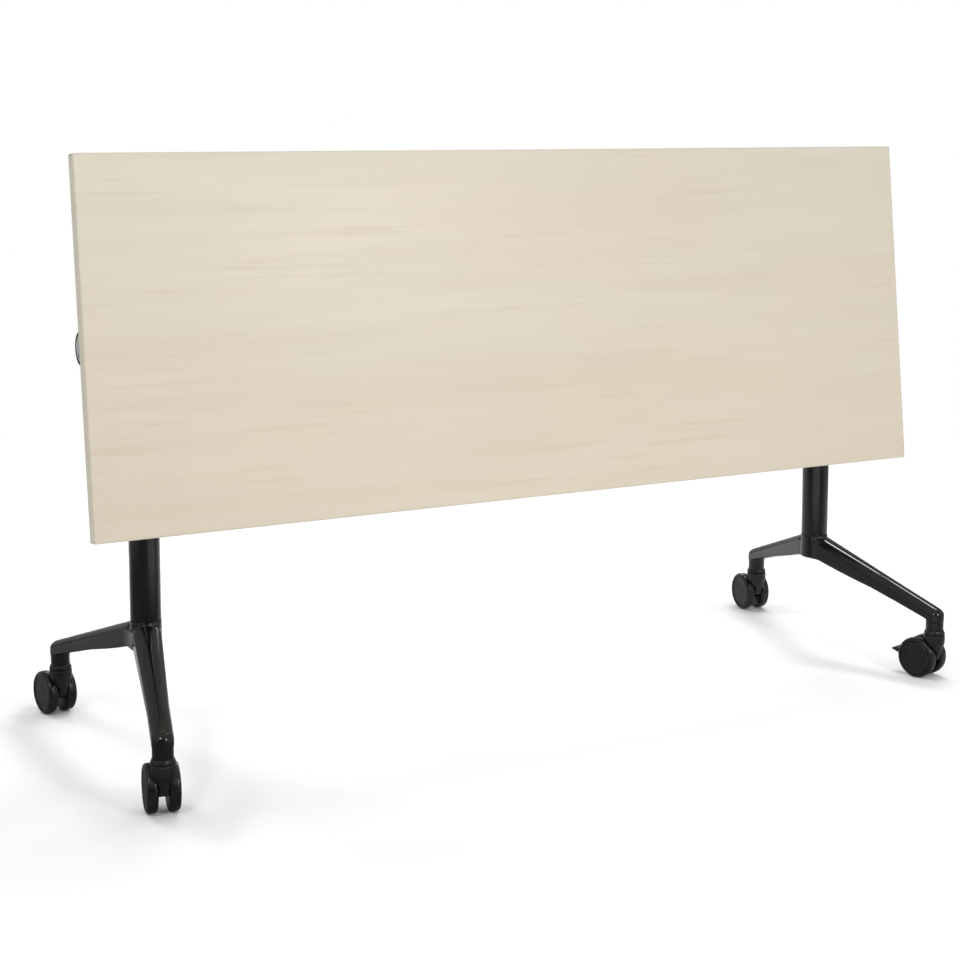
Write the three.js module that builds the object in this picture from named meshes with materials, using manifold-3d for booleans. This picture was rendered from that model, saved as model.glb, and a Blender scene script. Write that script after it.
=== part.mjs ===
// Flip-top training table on four twin-wheel casters, shown with its board tipped upright.
// Millimetres, +Z up, +X along the board, floor at z = 0, origin midway between the two legs.
// The board, its brackets and the release gear are drawn lying flat around the pivot axis, and
// their group is then turned about that axis into the upright position.

import * as THREE from 'three';
import { mergeVertices } from 'three/addons/utils/BufferGeometryUtils.js';
import Module from 'manifold-3d';

const wasm = await Module();
wasm.setup();

// Board
const BOARD_LENGTH = 1600;
const BOARD_DEPTH = 600;
const BOARD_THICKNESS = 25;
const EDGE_BAND = 2;
const BOARD_LEAN = 6.5;

// Pivot and beam
const PIVOT_HEIGHT = 677;
const AXIS_TO_WORKING_FACE = 90;
const BEAM_RADIUS = 25;
const BEAM_WALL = 2;
const BEAM_HALF_LENGTH = 774;
const CAP_RADIUS = 27;
const CAP_FLANGE = 6;
const CAP_DISC_RADIUS = 24;

// Legs
const COLUMN_X = 682;
const COLUMN_RADIUS = 25;
const COLUMN_WALL = 2;
const COLLAR_HEIGHT = 228;
const HUB_RADIUS = 25.6;
const HUB_BOTTOM = 183;
const HEAD_HALF_WIDTH = 30;
const HEAD_SLEEVE_RADIUS = 34;
const HEAD_COLLAR_RADIUS = 27;
const COLUMN_TOP_BELOW_PIVOT = 48;
const TIE_BOLT_RADIUS = 6;
const BOLT_SEAT = 193;
const SPIGOT_LENGTH = 40;

// Arms of the foot, measured along each arm from the column axis to the caster socket
const SOCKET_OUTBOARD = 67;
const SOCKET_REACH = 276;
const SOCKET_RADIUS = 17;
const SOCKET_BOTTOM = 83;
const SOCKET_RING = { radius: 19, height: 8 };
const ARM_TOP_AT_HUB = 224;
const ARM_TOP_AT_SOCKET = 135;
const ARM_BOTTOM_AT_HUB = 185;
const ARM_BOTTOM_AT_SOCKET = 109;
const ARM_CROWN = 12;
const ARM_HALF_WIDTH_AT_HUB = 23;
const ARM_HALF_WIDTH_AT_SOCKET = 17;

// Casters
const WHEEL_RADIUS = 37.5;
const WHEEL_WIDTH = 18;
const WHEEL_INNER_FACE = 8;
const CASTER_TRAIL = 25;
const CASTER_TOP_RADIUS = 19.5;
const AXLE_RADIUS = 4;
const STEM_RADIUS = 5.5;
const NECK_HALF_WIDTH = 7.4;
const LEVER_PIVOT_Y = 46;
const LEVER_PIVOT_Z = 47;
const LEVER_TIP_Y = 86;
const LEVER_HALF_WIDTH = 10;

// Flip bearings, latch and release gear, placed along the beam and around its axis
const INNER_BRACKET_X = 624;
const OUTER_BRACKET_X = 740;
const BRACKET_THICKNESS = 24;
const BRACKET_RING_RADIUS = 40;
const BUSH_OUTER_RADIUS = 29.7;
const FLANGE_THICKNESS = 6;
const SECTOR_RADIUS = 58;
const SECTOR_THICKNESS = 6;
const STOP_LUG_RADIUS = 50;
const ROD_RADIUS = 6;
const ROD_V = -90;
const ROD_W = 40;
const ROD_HALF_LENGTH = 656;
const HANDLE_HALF_WIDTH = 45;
const HANDLE_END_V = -262;

// Facets round a full turn, for large round forms and for pins and bores
const ROUND = 24;
const SMALL_ROUND = 12;

// Fits: pieces that only touch keep GAP, turning pieces keep RUNNING_GAP all round
const GAP = 0.3;
const RUNNING_GAP = 0.4;

// How far a cutting form runs past the face it opens
const PASS = 1;

const UNDERSIDE = AXIS_TO_WORKING_FACE - BOARD_THICKNESS;
const FLIP_TO_FLAT = 90 - BOARD_LEAN;
const SIDES = { left: -1, right: 1 };
const ENDS = { rear: 1, front: -1 };

// How far each caster has swivelled, in degrees about Z; 0 trails straight to the rear
const SWIVEL = { left_front: -11, left_rear: 9, right_rear: -7, right_front: 16 };
const BRAKED = ['left_rear', 'right_front'];

const radians = THREE.MathUtils.degToRad;

// Finishes
const finish = (color, roughness, metalness) =>
  new THREE.MeshStandardMaterial({ color, roughness, metalness });
const mapleBoard = () => finish(0xdcd2bf, 0.5, 0);
const mapleEdging = () => finish(0xd2c9b4, 0.45, 0);
const glossBlackPaint = () => finish(0x0d0d0e, 0.22, 0.2);
const blackNylon = () => finish(0x161617, 0.45, 0);
const blackRubber = () => finish(0x101010, 0.8, 0);
const zincSteel = () => finish(0xb4b6b8, 0.35, 0.9);
const brightChrome = () => finish(0xd8dadc, 0.12, 1);
const greyAcetal = () => finish(0x8a8c8e, 0.5, 0);

// Closed-solid helpers
function outward(geometry) {
  const bare = geometry.clone();
  bare.deleteAttribute('normal');
  bare.deleteAttribute('uv');
  const merged = mergeVertices(bare, 1e-4);
  const index = merged.index.array;
  const position = merged.attributes.position;
  const [a, b, c] = [new THREE.Vector3(), new THREE.Vector3(), new THREE.Vector3()];
  const kept = [];
  let volume = 0;
  for (let i = 0; i < index.length; i += 3) {
    const [p, q, r] = [index[i], index[i + 1], index[i + 2]];
    if (p === q || q === r || r === p) continue;
    kept.push(p, q, r);
    a.fromBufferAttribute(position, p);
    b.fromBufferAttribute(position, q);
    c.fromBufferAttribute(position, r);
    volume += a.dot(b.cross(c));
  }
  if (volume < 0) kept.reverse();
  merged.setIndex(kept);
  return merged;
}

function solid(geometry) {
  const closed = outward(geometry);
  const vertProperties = new Float32Array(closed.attributes.position.array);
  const triVerts = new Uint32Array(closed.index.array);
  return new wasm.Manifold(new wasm.Mesh({ numProp: 3, vertProperties, triVerts }));
}

function geometryOf(manifold) {
  const mesh = manifold.getMesh();
  const geometry = new THREE.BufferGeometry();
  geometry.setAttribute('position', new THREE.BufferAttribute(new Float32Array(mesh.vertProperties), 3));
  geometry.setIndex(new THREE.BufferAttribute(new Uint32Array(mesh.triVerts), 1));
  return geometry;
}

const joined = (first, ...others) => others.reduce((sum, g) => sum.add(solid(g)), solid(first));
const cut = (body, ...tools) => tools.reduce((rest, g) => rest.subtract(solid(g)), body);

// A profile of [radius, distance along the axis] pairs, turned about X or Z
function turned(profile, axis, segments) {
  const points = profile.map(([radius, along]) => new THREE.Vector2(radius, along));
  const geometry = new THREE.LatheGeometry(points, segments);
  if (axis === 'x') geometry.rotateZ(-Math.PI / 2);
  else geometry.rotateX(Math.PI / 2);
  return outward(geometry);
}

const rod = (radius, from, to, axis, segments) =>
  turned([[0, from], [radius, from], [radius, to], [0, to]], axis, segments);

const tube = (inner, outer, from, to, axis, segments) =>
  turned([[inner, from], [outer, from], [outer, to], [inner, to], [inner, from]], axis, segments);

const block = (low, high) =>
  new THREE.BoxGeometry(high[0] - low[0], high[1] - low[1], high[2] - low[2])
    .translate((low[0] + high[0]) / 2, (low[1] + high[1]) / 2, (low[2] + high[2]) / 2);

// A shape drawn in the Y-Z plane and given thickness along X
function plateAcrossX(shape, from, to) {
  const geometry = new THREE.ExtrudeGeometry(shape, { depth: to - from, bevelEnabled: false });
  const yAxis = new THREE.Vector3(0, 1, 0);
  const zAxis = new THREE.Vector3(0, 0, 1);
  const xAxis = new THREE.Vector3(1, 0, 0);
  geometry.applyMatrix4(new THREE.Matrix4().makeBasis(yAxis, zAxis, xAxis));
  return geometry.translate(from, 0, 0);
}

// The same for a range given by distance from the middle of the table, on either side
function plateOnSide(side, shape, near, far) {
  return side > 0 ? plateAcrossX(shape, near, far) : plateAcrossX(shape, -far, -near);
}

// Points on an arc about a centre in the Y-Z plane; angles in degrees run from +Y towards +Z
function arc(y, z, radius, from, to, steps) {
  return Array.from({ length: steps + 1 }, (_, i) => {
    const angle = radians(from + ((to - from) * i) / steps);
    return [y + radius * Math.cos(angle), z + radius * Math.sin(angle)];
  });
}

const polygon = (points) => new THREE.Shape(points.map(([y, z]) => new THREE.Vector2(y, z)));
const disc = (y, z, radius, facets) => polygon(arc(y, z, radius, 0, 360 - 360 / facets, facets - 1));

// A skin through equal loops of points, closed at both ends
function loft(loops) {
  const count = loops[0].length;
  const vertices = loops.flat().flatMap((p) => [p.x, p.y, p.z]);
  const index = [];
  for (let row = 0; row + 1 < loops.length; row += 1) {
    for (let i = 0; i < count; i += 1) {
      const a = row * count + i;
      const b = row * count + ((i + 1) % count);
      index.push(a, b, a + count, b, b + count, a + count);
    }
  }
  const last = (loops.length - 1) * count;
  for (let i = 1; i + 1 < count; i += 1) {
    index.push(0, i + 1, i, last, last + i, last + i + 1);
  }
  const geometry = new THREE.BufferGeometry();
  geometry.setAttribute('position', new THREE.Float32BufferAttribute(vertices, 3));
  geometry.setIndex(index);
  return outward(geometry);
}

function piece(parent, name, geometry, material) {
  const shape = geometry.isBufferGeometry ? geometry : geometryOf(geometry);
  const mesh = new THREE.Mesh(shape, material);
  mesh.name = name;
  parent.add(mesh);
  return mesh;
}

function group(parent, x = 0, y = 0, z = 0) {
  const holder = new THREE.Group();
  holder.position.set(x, y, z);
  parent.add(holder);
  return holder;
}

const table = new THREE.Group();

// Foot: one die casting with a hub under the column and two splayed arms that end in caster sockets
const { lerp, clamp } = THREE.MathUtils;

function armLoft(tip) {
  const reach = tip.length();
  const along = tip.clone().normalize();
  const across = new THREE.Vector3(-along.y, along.x, 0);
  const overlap = 5;
  const spans = [0.3, 0.55, 0.8, 1].map((share) => share * reach);
  const stations = [-overlap, HUB_RADIUS, ...spans, reach + overlap];
  const crownSteps = 5;
  const lowerChamfer = 2.5;
  const insideSocket = 0.05;
  const taperRate = 1.4;
  return loft(stations.map((s) => {
    const t = clamp((s - HUB_RADIUS) / (reach - HUB_RADIUS), 0, 1.02);
    const taper = Math.min(1, t * taperRate);
    const width = lerp(ARM_HALF_WIDTH_AT_HUB, ARM_HALF_WIDTH_AT_SOCKET, taper) - insideSocket;
    const top = lerp(ARM_TOP_AT_HUB, ARM_TOP_AT_SOCKET, t);
    const bottom = lerp(ARM_BOTTOM_AT_HUB, ARM_BOTTOM_AT_SOCKET, t);
    const section = [[-width, bottom + lowerChamfer], [-width + lowerChamfer, bottom]];
    section.push([width - lowerChamfer, bottom], [width, bottom + lowerChamfer]);
    for (let i = 0; i <= crownSteps; i += 1) {
      const angle = (Math.PI * i) / crownSteps;
      section.push([width * Math.cos(angle), top - ARM_CROWN * (1 - Math.sin(angle))]);
    }
    return section.map(([a, z]) => along.clone().multiplyScalar(s).addScaledVector(across, a).setZ(z));
  }));
}

function socketPost() {
  const domeSteps = 3;
  const ringTop = SOCKET_BOTTOM + SOCKET_RING.height;
  const profile = [[0, SOCKET_BOTTOM], [SOCKET_RING.radius, SOCKET_BOTTOM], [SOCKET_RADIUS, ringTop]];
  for (let i = 0; i <= domeSteps; i += 1) {
    const angle = (Math.PI / 2) * (i / domeSteps);
    const domeHeight = ARM_TOP_AT_SOCKET - ARM_CROWN + ARM_CROWN * Math.sin(angle);
    profile.push([SOCKET_RADIUS * Math.cos(angle), domeHeight]);
  }
  profile[profile.length - 1][0] = 0;
  return turned(profile, 'z', ROUND);
}

function footCasting(side) {
  const tips = Object.values(ENDS)
    .map((end) => new THREE.Vector3(side * SOCKET_OUTBOARD, end * SOCKET_REACH, 0));
  const hub = rod(HUB_RADIUS, HUB_BOTTOM, COLLAR_HEIGHT, 'z', ROUND);
  const posts = tips.map((tip) => socketPost().translate(tip.x, tip.y, 0));
  const boreTop = ARM_TOP_AT_SOCKET - ARM_CROWN;
  const stemBores = tips.map((tip) =>
    rod(STEM_RADIUS + GAP, SOCKET_BOTTOM - PASS, boreTop, 'z', SMALL_ROUND).translate(tip.x, tip.y, 0));
  const boltHole = rod(TIE_BOLT_RADIUS + GAP, HUB_BOTTOM - PASS, COLLAR_HEIGHT + PASS, 'z', SMALL_ROUND);
  const boltRecess = rod(TIE_BOLT_RADIUS * 2, HUB_BOTTOM - PASS, BOLT_SEAT, 'z', SMALL_ROUND);
  const casting = joined(hub, ...tips.map(armLoft), ...posts);
  return cut(casting, ...stemBores, boltHole, boltRecess);
}

// Head: a casting that plugs into the column and grips the beam in a sleeve
const plugRadius = COLUMN_RADIUS - COLUMN_WALL - GAP;

function headCasting() {
  const sleeve = rod(HEAD_SLEEVE_RADIUS, -HEAD_HALF_WIDTH, HEAD_HALF_WIDTH, 'x', ROUND);
  const collar = rod(HEAD_COLLAR_RADIUS, GAP - COLUMN_TOP_BELOW_PIVOT, -BEAM_RADIUS / 2, 'z', ROUND);
  const spigot = rod(plugRadius, -COLUMN_TOP_BELOW_PIVOT - SPIGOT_LENGTH, -BEAM_RADIUS, 'z', ROUND);
  const bore = rod(BEAM_RADIUS + GAP, -HEAD_HALF_WIDTH - PASS, HEAD_HALF_WIDTH + PASS, 'x', ROUND);
  return cut(joined(sleeve, collar, spigot), bore);
}

// Latch sector: a plate on the head whose rim carries the dog, with a notch for the flat position
// and a lug that stops the board when it is upright. Angles run from +Y towards +Z.
const LOBE = { from: 140, to: 240 };
const NOTCH = { from: 143, to: 151, radius: 50 };
const STOP_LUG = { from: 342.1, to: 358 };
const SECTOR_HUB_RADIUS = 34;

function sectorOutline() {
  const rim = (radius, from, to, steps) => arc(0, 0, radius, from, to, steps);
  return polygon([
    ...rim(SECTOR_HUB_RADIUS, STOP_LUG.to - 360, LOBE.from, 9),
    ...rim(SECTOR_RADIUS, LOBE.from, NOTCH.from, 1),
    ...rim(NOTCH.radius, NOTCH.from, NOTCH.to, 1),
    ...rim(SECTOR_RADIUS, NOTCH.to, LOBE.to, 9),
    ...rim(SECTOR_HUB_RADIUS, LOBE.to, STOP_LUG.from, 6),
    ...rim(STOP_LUG_RADIUS, STOP_LUG.from, STOP_LUG.to, 2),
  ]);
}

const headInnerFace = COLUMN_X - HEAD_HALF_WIDTH;
const sectorFar = headInnerFace - GAP;
const sectorNear = sectorFar - SECTOR_THICKNESS;
const columnTop = PIVOT_HEIGHT - COLUMN_TOP_BELOW_PIVOT;
const columnBottom = COLLAR_HEIGHT + GAP;

for (const [name, side] of Object.entries(SIDES)) {
  const leg = group(table, side * COLUMN_X, 0, 0);
  piece(leg, `foot_${name}`, footCasting(side), glossBlackPaint());

  const columnInner = COLUMN_RADIUS - COLUMN_WALL;
  const columnWall = tube(columnInner, COLUMN_RADIUS, columnBottom, columnTop, 'z', ROUND);
  piece(leg, `column_${name}`, columnWall, glossBlackPaint());

  const plugTop = columnBottom + 40;
  const threadEnd = columnBottom + 35;
  const plugBody = joined(rod(plugRadius, columnBottom, plugTop, 'z', ROUND));
  const plugThread = rod(TIE_BOLT_RADIUS + GAP, columnBottom - PASS, threadEnd, 'z', SMALL_ROUND);
  piece(leg, `column_plug_${name}`, cut(plugBody, plugThread), zincSteel());

  const headTop = BOLT_SEAT - GAP;
  const headBottom = headTop - 8;
  const boltEnd = threadEnd - 3;
  const boltHeadRadius = TIE_BOLT_RADIUS * 1.6;
  const boltProfile = [[0, headBottom], [boltHeadRadius, headBottom], [boltHeadRadius, headTop]];
  boltProfile.push([TIE_BOLT_RADIUS, headTop], [TIE_BOLT_RADIUS, boltEnd], [0, boltEnd]);
  piece(leg, `column_bolt_${name}`, turned(boltProfile, 'z', SMALL_ROUND), zincSteel());

  const top = group(leg, 0, 0, PIVOT_HEIGHT);
  piece(top, `head_${name}`, headCasting(), glossBlackPaint());

  const onAxis = group(table, 0, 0, PIVOT_HEIGHT);
  const sectorPlate = joined(plateOnSide(side, sectorOutline(), sectorNear, sectorFar));
  const beamHole = disc(0, 0, BEAM_RADIUS + GAP, ROUND);
  const beamCut = plateOnSide(side, beamHole, sectorNear - PASS, sectorFar + PASS);
  piece(onAxis, `latch_sector_${name}`, cut(sectorPlate, beamCut), zincSteel());
}

// Beam: a steel tube on the pivot axis that ties the two heads together, closed by capped ends
const pivotAxis = group(table, 0, 0, PIVOT_HEIGHT);
const beamInner = BEAM_RADIUS - BEAM_WALL;
const beamWall = tube(beamInner, BEAM_RADIUS, -BEAM_HALF_LENGTH, BEAM_HALF_LENGTH, 'x', ROUND);
piece(pivotAxis, 'beam', beamWall, glossBlackPaint());

const capBase = BEAM_HALF_LENGTH + GAP;
const capFace = BEAM_HALF_LENGTH + CAP_FLANGE;
const discSeat = capFace - 2.2;
const capPlugRadius = beamInner - GAP;

for (const [name, side] of Object.entries(SIDES)) {
  const plugEnd = capBase - 22;
  const rimChamfer = 1;
  const rimEdge = [[CAP_RADIUS, capFace - rimChamfer], [CAP_RADIUS - rimChamfer, capFace]];
  const capProfile = [[0, plugEnd], [capPlugRadius, plugEnd], [capPlugRadius, capBase]];
  capProfile.push([CAP_RADIUS, capBase], ...rimEdge);
  capProfile.push([CAP_DISC_RADIUS + GAP, capFace], [CAP_DISC_RADIUS + GAP, discSeat], [0, discSeat]);
  const mirrored = (profile) => profile.map(([r, x]) => [r, side * x]);
  piece(pivotAxis, `end_cap_${name}`, turned(mirrored(capProfile), 'x', ROUND), blackNylon());

  const discBack = discSeat + GAP;
  const discFront = capFace - GAP;
  const discChamfer = 0.6;
  const discShoulder = discFront - discChamfer;
  const discProfile = [[0, discBack], [CAP_DISC_RADIUS, discBack], [CAP_DISC_RADIUS, discShoulder]];
  discProfile.push([CAP_DISC_RADIUS - discChamfer, discFront], [0, discFront]);
  piece(pivotAxis, `end_disc_${name}`, turned(mirrored(discProfile), 'x', ROUND), brightChrome());
}

// Everything that tips with the board, drawn lying flat
const tipping = group(table, 0, 0, PIVOT_HEIGHT);
tipping.rotation.x = radians(FLIP_TO_FLAT);

// Board: a laminated core with four glued edge bands
const coreX = BOARD_LENGTH / 2 - EDGE_BAND - GAP;
const coreY = BOARD_DEPTH / 2 - EDGE_BAND - GAP;
const face = AXIS_TO_WORKING_FACE;
piece(tipping, 'board', block([-coreX, -coreY, UNDERSIDE], [coreX, coreY, face]), mapleBoard());

const bandInner = { x: BOARD_LENGTH / 2 - EDGE_BAND, y: BOARD_DEPTH / 2 - EDGE_BAND };
const bandOuter = { x: BOARD_LENGTH / 2, y: BOARD_DEPTH / 2 };
for (const [name, end] of Object.entries(ENDS)) {
  const ys = [end * bandInner.y, end * bandOuter.y].sort((a, b) => a - b);
  const band = block([-bandOuter.x, ys[0], UNDERSIDE], [bandOuter.x, ys[1], face]);
  piece(tipping, `edge_band_${name}`, band, mapleEdging());
}
for (const [name, side] of Object.entries(SIDES)) {
  const xs = [side * bandInner.x, side * bandOuter.x].sort((a, b) => a - b);
  const halfLength = bandInner.y - GAP;
  const band = block([xs[0], -halfLength, UNDERSIDE], [xs[1], halfLength, face]);
  piece(tipping, `edge_band_${name}`, band, mapleEdging());
}

// Flip brackets: a bearing ring on the beam, a web and a flange screwed under the board
const flangeTop = UNDERSIDE - GAP;
const flangeBottom = flangeTop - FLANGE_THICKNESS;
const bushBore = BEAM_RADIUS + RUNNING_GAP;
const WEB_FOOT = { y: 36, z: 12 };
const WEB_INTO_FLANGE = 1;
const ROD_BOSS_RADIUS = 13;
const STOP_EAR = { from: 240.6, to: 250.3, inner: 36.5, outer: 54 };
const STOP_BUFFER = { from: 250.8, to: 258.1, inner: 38, outer: 50 };

const wedge = ({ from, to, inner, outer }) =>
  polygon([...arc(0, 0, outer, from, to, 2), ...arc(0, 0, inner, to, from, 2)]);

const webTop = flangeBottom + WEB_INTO_FLANGE;

function flipBracket(side, middle, webFront, webRear, flangeNear, flangeFar) {
  const near = middle - BRACKET_THICKNESS / 2;
  const far = middle + BRACKET_THICKNESS / 2;
  const { y, z } = WEB_FOOT;
  const web = polygon([[-y, z], [y, z], [webRear, webTop], [webFront, webTop]]);
  const flangeXs = [side * flangeNear, side * flangeFar].sort((a, b) => a - b);
  const flangeMargin = 25;
  const flange = block(
    [flangeXs[0], webFront - flangeMargin, flangeBottom],
    [flangeXs[1], webRear + flangeMargin, flangeTop],
  );
  const ring = plateOnSide(side, disc(0, 0, BRACKET_RING_RADIUS, ROUND), near, far);
  const bore = plateOnSide(side, disc(0, 0, BUSH_OUTER_RADIUS + GAP, ROUND), near - PASS, far + PASS);
  return { near, far, metal: joined(ring, plateOnSide(side, web, near, far), flange), bore };
}

for (const [name, side] of Object.entries(SIDES)) {
  const inner = flipBracket(side, INNER_BRACKET_X, -95, 85, 570, 640);
  const { near, far } = inner;
  const rodBoss = disc(ROD_V, ROD_W, ROD_BOSS_RADIUS, SMALL_ROUND);
  const bossFront = ROD_V - ROD_BOSS_RADIUS;
  const { y, z } = WEB_FOOT;
  const bossWeb = polygon([[bossFront, ROD_W], [-y, z], [-y, webTop], [bossFront, webTop]]);
  const stopEar = plateOnSide(side, wedge(STOP_EAR), near, sectorFar - GAP);
  const rodHole = disc(ROD_V, ROD_W, ROD_RADIUS + RUNNING_GAP, SMALL_ROUND);
  const rodBore = plateOnSide(side, rodHole, near - PASS, far + PASS);
  const latchBracket = inner.metal
    .add(solid(plateOnSide(side, rodBoss, near, far)))
    .add(solid(plateOnSide(side, bossWeb, near, far)))
    .add(solid(stopEar));
  const aroundSectorHub = disc(0, 0, SECTOR_HUB_RADIUS + 2, ROUND);
  const earClearance = plateOnSide(side, aroundSectorHub, far, sectorFar);
  const finished = cut(latchBracket, inner.bore, rodBore, earClearance);
  piece(tipping, `inner_bracket_${name}`, finished, glossBlackPaint());

  const buffer = plateOnSide(side, wedge(STOP_BUFFER), sectorNear, sectorFar - GAP);
  piece(tipping, `stop_buffer_${name}`, joined(buffer), blackRubber());

  const outer = flipBracket(side, OUTER_BRACKET_X, -80, 80, 718, 786);
  piece(tipping, `outer_bracket_${name}`, cut(outer.metal, outer.bore), glossBlackPaint());

  for (const [place, bracket] of Object.entries({ inner, outer })) {
    const flangeRadius = BUSH_OUTER_RADIUS + 4;
    const lip = 2;
    const lipFace = bracket.near - lip - GAP;
    const lipBack = lipFace + lip;
    const end = bracket.far + 1;
    const bushProfile = [[bushBore, lipFace], [flangeRadius, lipFace], [flangeRadius, lipBack]];
    bushProfile.push([BUSH_OUTER_RADIUS, lipBack], [BUSH_OUTER_RADIUS, end]);
    bushProfile.push([bushBore, end], [bushBore, lipFace]);
    const placed = bushProfile.map(([r, x]) => [r, side * x]);
    piece(tipping, `${place}_bush_${name}`, turned(placed, 'x', ROUND), greyAcetal());
  }
}

// Release gear: one rod in the two inner brackets and a middle guide, with a dog at each sector,
// a pull handle in the middle and a torsion spring that brings the handle back
const GUIDE_X = { near: 72, far: 92 };
const HANDLE_HUB_RADIUS = 11;
const HANDLE_THICKNESS = 7;

const GUIDE = { bossRadius: 12, webHalf: 20, footHalf: 32, footMargin: 12, footThickness: 4 };
const guideWeb = polygon([
  [ROD_V - GUIDE.bossRadius, ROD_W],
  [ROD_V + GUIDE.bossRadius, ROD_W],
  [ROD_V + GUIDE.webHalf, flangeTop],
  [ROD_V - GUIDE.webHalf, flangeTop],
]);
const guideFoot = block(
  [GUIDE_X.near - GUIDE.footMargin, ROD_V - GUIDE.footHalf, flangeTop - GUIDE.footThickness],
  [GUIDE_X.far + GUIDE.footMargin, ROD_V + GUIDE.footHalf, flangeTop],
);
const guideRing = disc(ROD_V, ROD_W, GUIDE.bossRadius, SMALL_ROUND);
const guideBoss = plateAcrossX(guideRing, GUIDE_X.near, GUIDE_X.far);
const guideHole = disc(ROD_V, ROD_W, ROD_RADIUS + RUNNING_GAP, SMALL_ROUND);
const guideBore = plateAcrossX(guideHole, GUIDE_X.near - PASS, GUIDE_X.far + PASS);
const guideBody = joined(plateAcrossX(guideWeb, GUIDE_X.near, GUIDE_X.far), guideFoot, guideBoss);
piece(tipping, 'rod_guide', cut(guideBody, guideBore), blackNylon());

const releaseRod = rod(ROD_RADIUS, -ROD_HALF_LENGTH, ROD_HALF_LENGTH, 'x', SMALL_ROUND);
piece(tipping, 'release_rod', releaseRod.translate(0, ROD_V, ROD_W), zincSteel());

// The dog's nose lies just outside the sector's rim, over the notch when the board is flat
const DOG_BOSS_RADIUS = 11;

function dogOutline() {
  const noseRadius = SECTOR_RADIUS + 0.8;
  const noseFace = arc(0, 0, noseRadius, NOTCH.from + 1, NOTCH.to - 1, 1);
  const noseBack = arc(0, 0, noseRadius + 8, NOTCH.from - 1, NOTCH.from, 1)[0];
  return polygon([
    [ROD_V, ROD_W + DOG_BOSS_RADIUS],
    noseBack,
    ...noseFace,
    [ROD_V + 6, ROD_W - DOG_BOSS_RADIUS + 1],
    [ROD_V, ROD_W - DOG_BOSS_RADIUS],
  ]);
}

for (const [name, side] of Object.entries(SIDES)) {
  const [near, far] = [sectorNear + GAP, sectorFar - GAP];
  const boss = plateOnSide(side, disc(ROD_V, ROD_W, DOG_BOSS_RADIUS, SMALL_ROUND), near, far);
  const hole = disc(ROD_V, ROD_W, ROD_RADIUS + GAP, SMALL_ROUND);
  const bore = plateOnSide(side, hole, near - PASS, far + PASS);
  const nose = plateOnSide(side, dogOutline(), near, far);
  piece(tipping, `latch_dog_${name}`, cut(joined(boss, nose), bore), zincSteel());
}

const HANDLE_GRIP_W = ROD_W - 8;
const HANDLE_GRIP_RADIUS = 6;
const handleHalf = HANDLE_THICKNESS / 2;
const handleArm = polygon([
  [ROD_V, ROD_W + handleHalf],
  [HANDLE_END_V, HANDLE_GRIP_W + handleHalf],
  [HANDLE_END_V, HANDLE_GRIP_W - handleHalf],
  [ROD_V, ROD_W - handleHalf],
]);
const acrossHandle = (shape, past) =>
  plateAcrossX(shape, -HANDLE_HALF_WIDTH - past, HANDLE_HALF_WIDTH + past);
const handleHub = acrossHandle(disc(ROD_V, ROD_W, HANDLE_HUB_RADIUS, SMALL_ROUND), 0);
const gripRoll = acrossHandle(disc(HANDLE_END_V, HANDLE_GRIP_W, HANDLE_GRIP_RADIUS, SMALL_ROUND), 0);
const handleBore = acrossHandle(disc(ROD_V, ROD_W, ROD_RADIUS + GAP, SMALL_ROUND), PASS);
const handleBlade = acrossHandle(handleArm, 0);
piece(tipping, 'release_handle', cut(joined(handleHub, handleBlade, gripRoll), handleBore), blackNylon());

const SPRING = { from: 48.5, turns: 6, pitch: 3.4, coil: 9.6, wire: 1.2, stepsPerTurn: 8 };

function springCentreLine() {
  const points = [];
  const legLength = 24;
  const at = (turn) => {
    const angle = turn * Math.PI * 2;
    const x = SPRING.from + SPRING.pitch * turn;
    const y = ROD_V + SPRING.coil * Math.sin(angle);
    return new THREE.Vector3(x, y, ROD_W - SPRING.coil * Math.cos(angle));
  };
  const first = at(0);
  points.push(new THREE.Vector3(first.x, first.y - legLength, first.z));
  points.push(new THREE.Vector3(first.x, first.y - legLength / 2, first.z));
  for (let i = 0; i <= SPRING.turns * SPRING.stepsPerTurn; i += 1) {
    points.push(at(i / SPRING.stepsPerTurn));
  }
  const last = at(SPRING.turns);
  points.push(new THREE.Vector3(last.x, last.y + legLength / 2, last.z));
  points.push(new THREE.Vector3(last.x, last.y + legLength, last.z));
  return points;
}

function leastGap(points) {
  const apart = SPRING.stepsPerTurn / 2;
  let least = Infinity;
  points.forEach((p, i) => {
    for (const q of points.slice(i + apart)) least = Math.min(least, p.distanceTo(q));
  });
  return least - 2 * SPRING.wire;
}

const springPoints = springCentreLine();
console.log(`release spring: least gap between turns ${leastGap(springPoints).toFixed(2)} mm`);
const springWire = new THREE.ExtrudeGeometry(disc(0, 0, SPRING.wire, 5), {
  steps: springPoints.length - 1,
  bevelEnabled: false,
  extrudePath: new THREE.CatmullRomCurve3(springPoints),
});
piece(tipping, 'release_spring', outward(springWire), zincSteel());

// Casters, drawn with the swivel axis on Z, the axle along X and the wheels trailing towards +Y
const bodyTop = SOCKET_BOTTOM - GAP;
const STEM_FOOT = 46;
const CONE = { bottom: 36, bottomRadius: 10, shoulder: 64, shoulderRadius: 18, rim: 69 };
const NECK = { front: -9, rear: 14, top: 73, rearTop: 60, bossRadius: 15, slope: 10 };
const CLAW = { setBack: 3, radius: 9, mouthDepth: 12, mouthHalf: 14 };
const KNUCKLE_RADIUS = 5;
const WHEEL_CLEARANCE = 1.3;
const WHEEL_SIDE_CLEARANCE = 0.6;
const WHEEL_BORE_DEPTH = 12;

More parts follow.
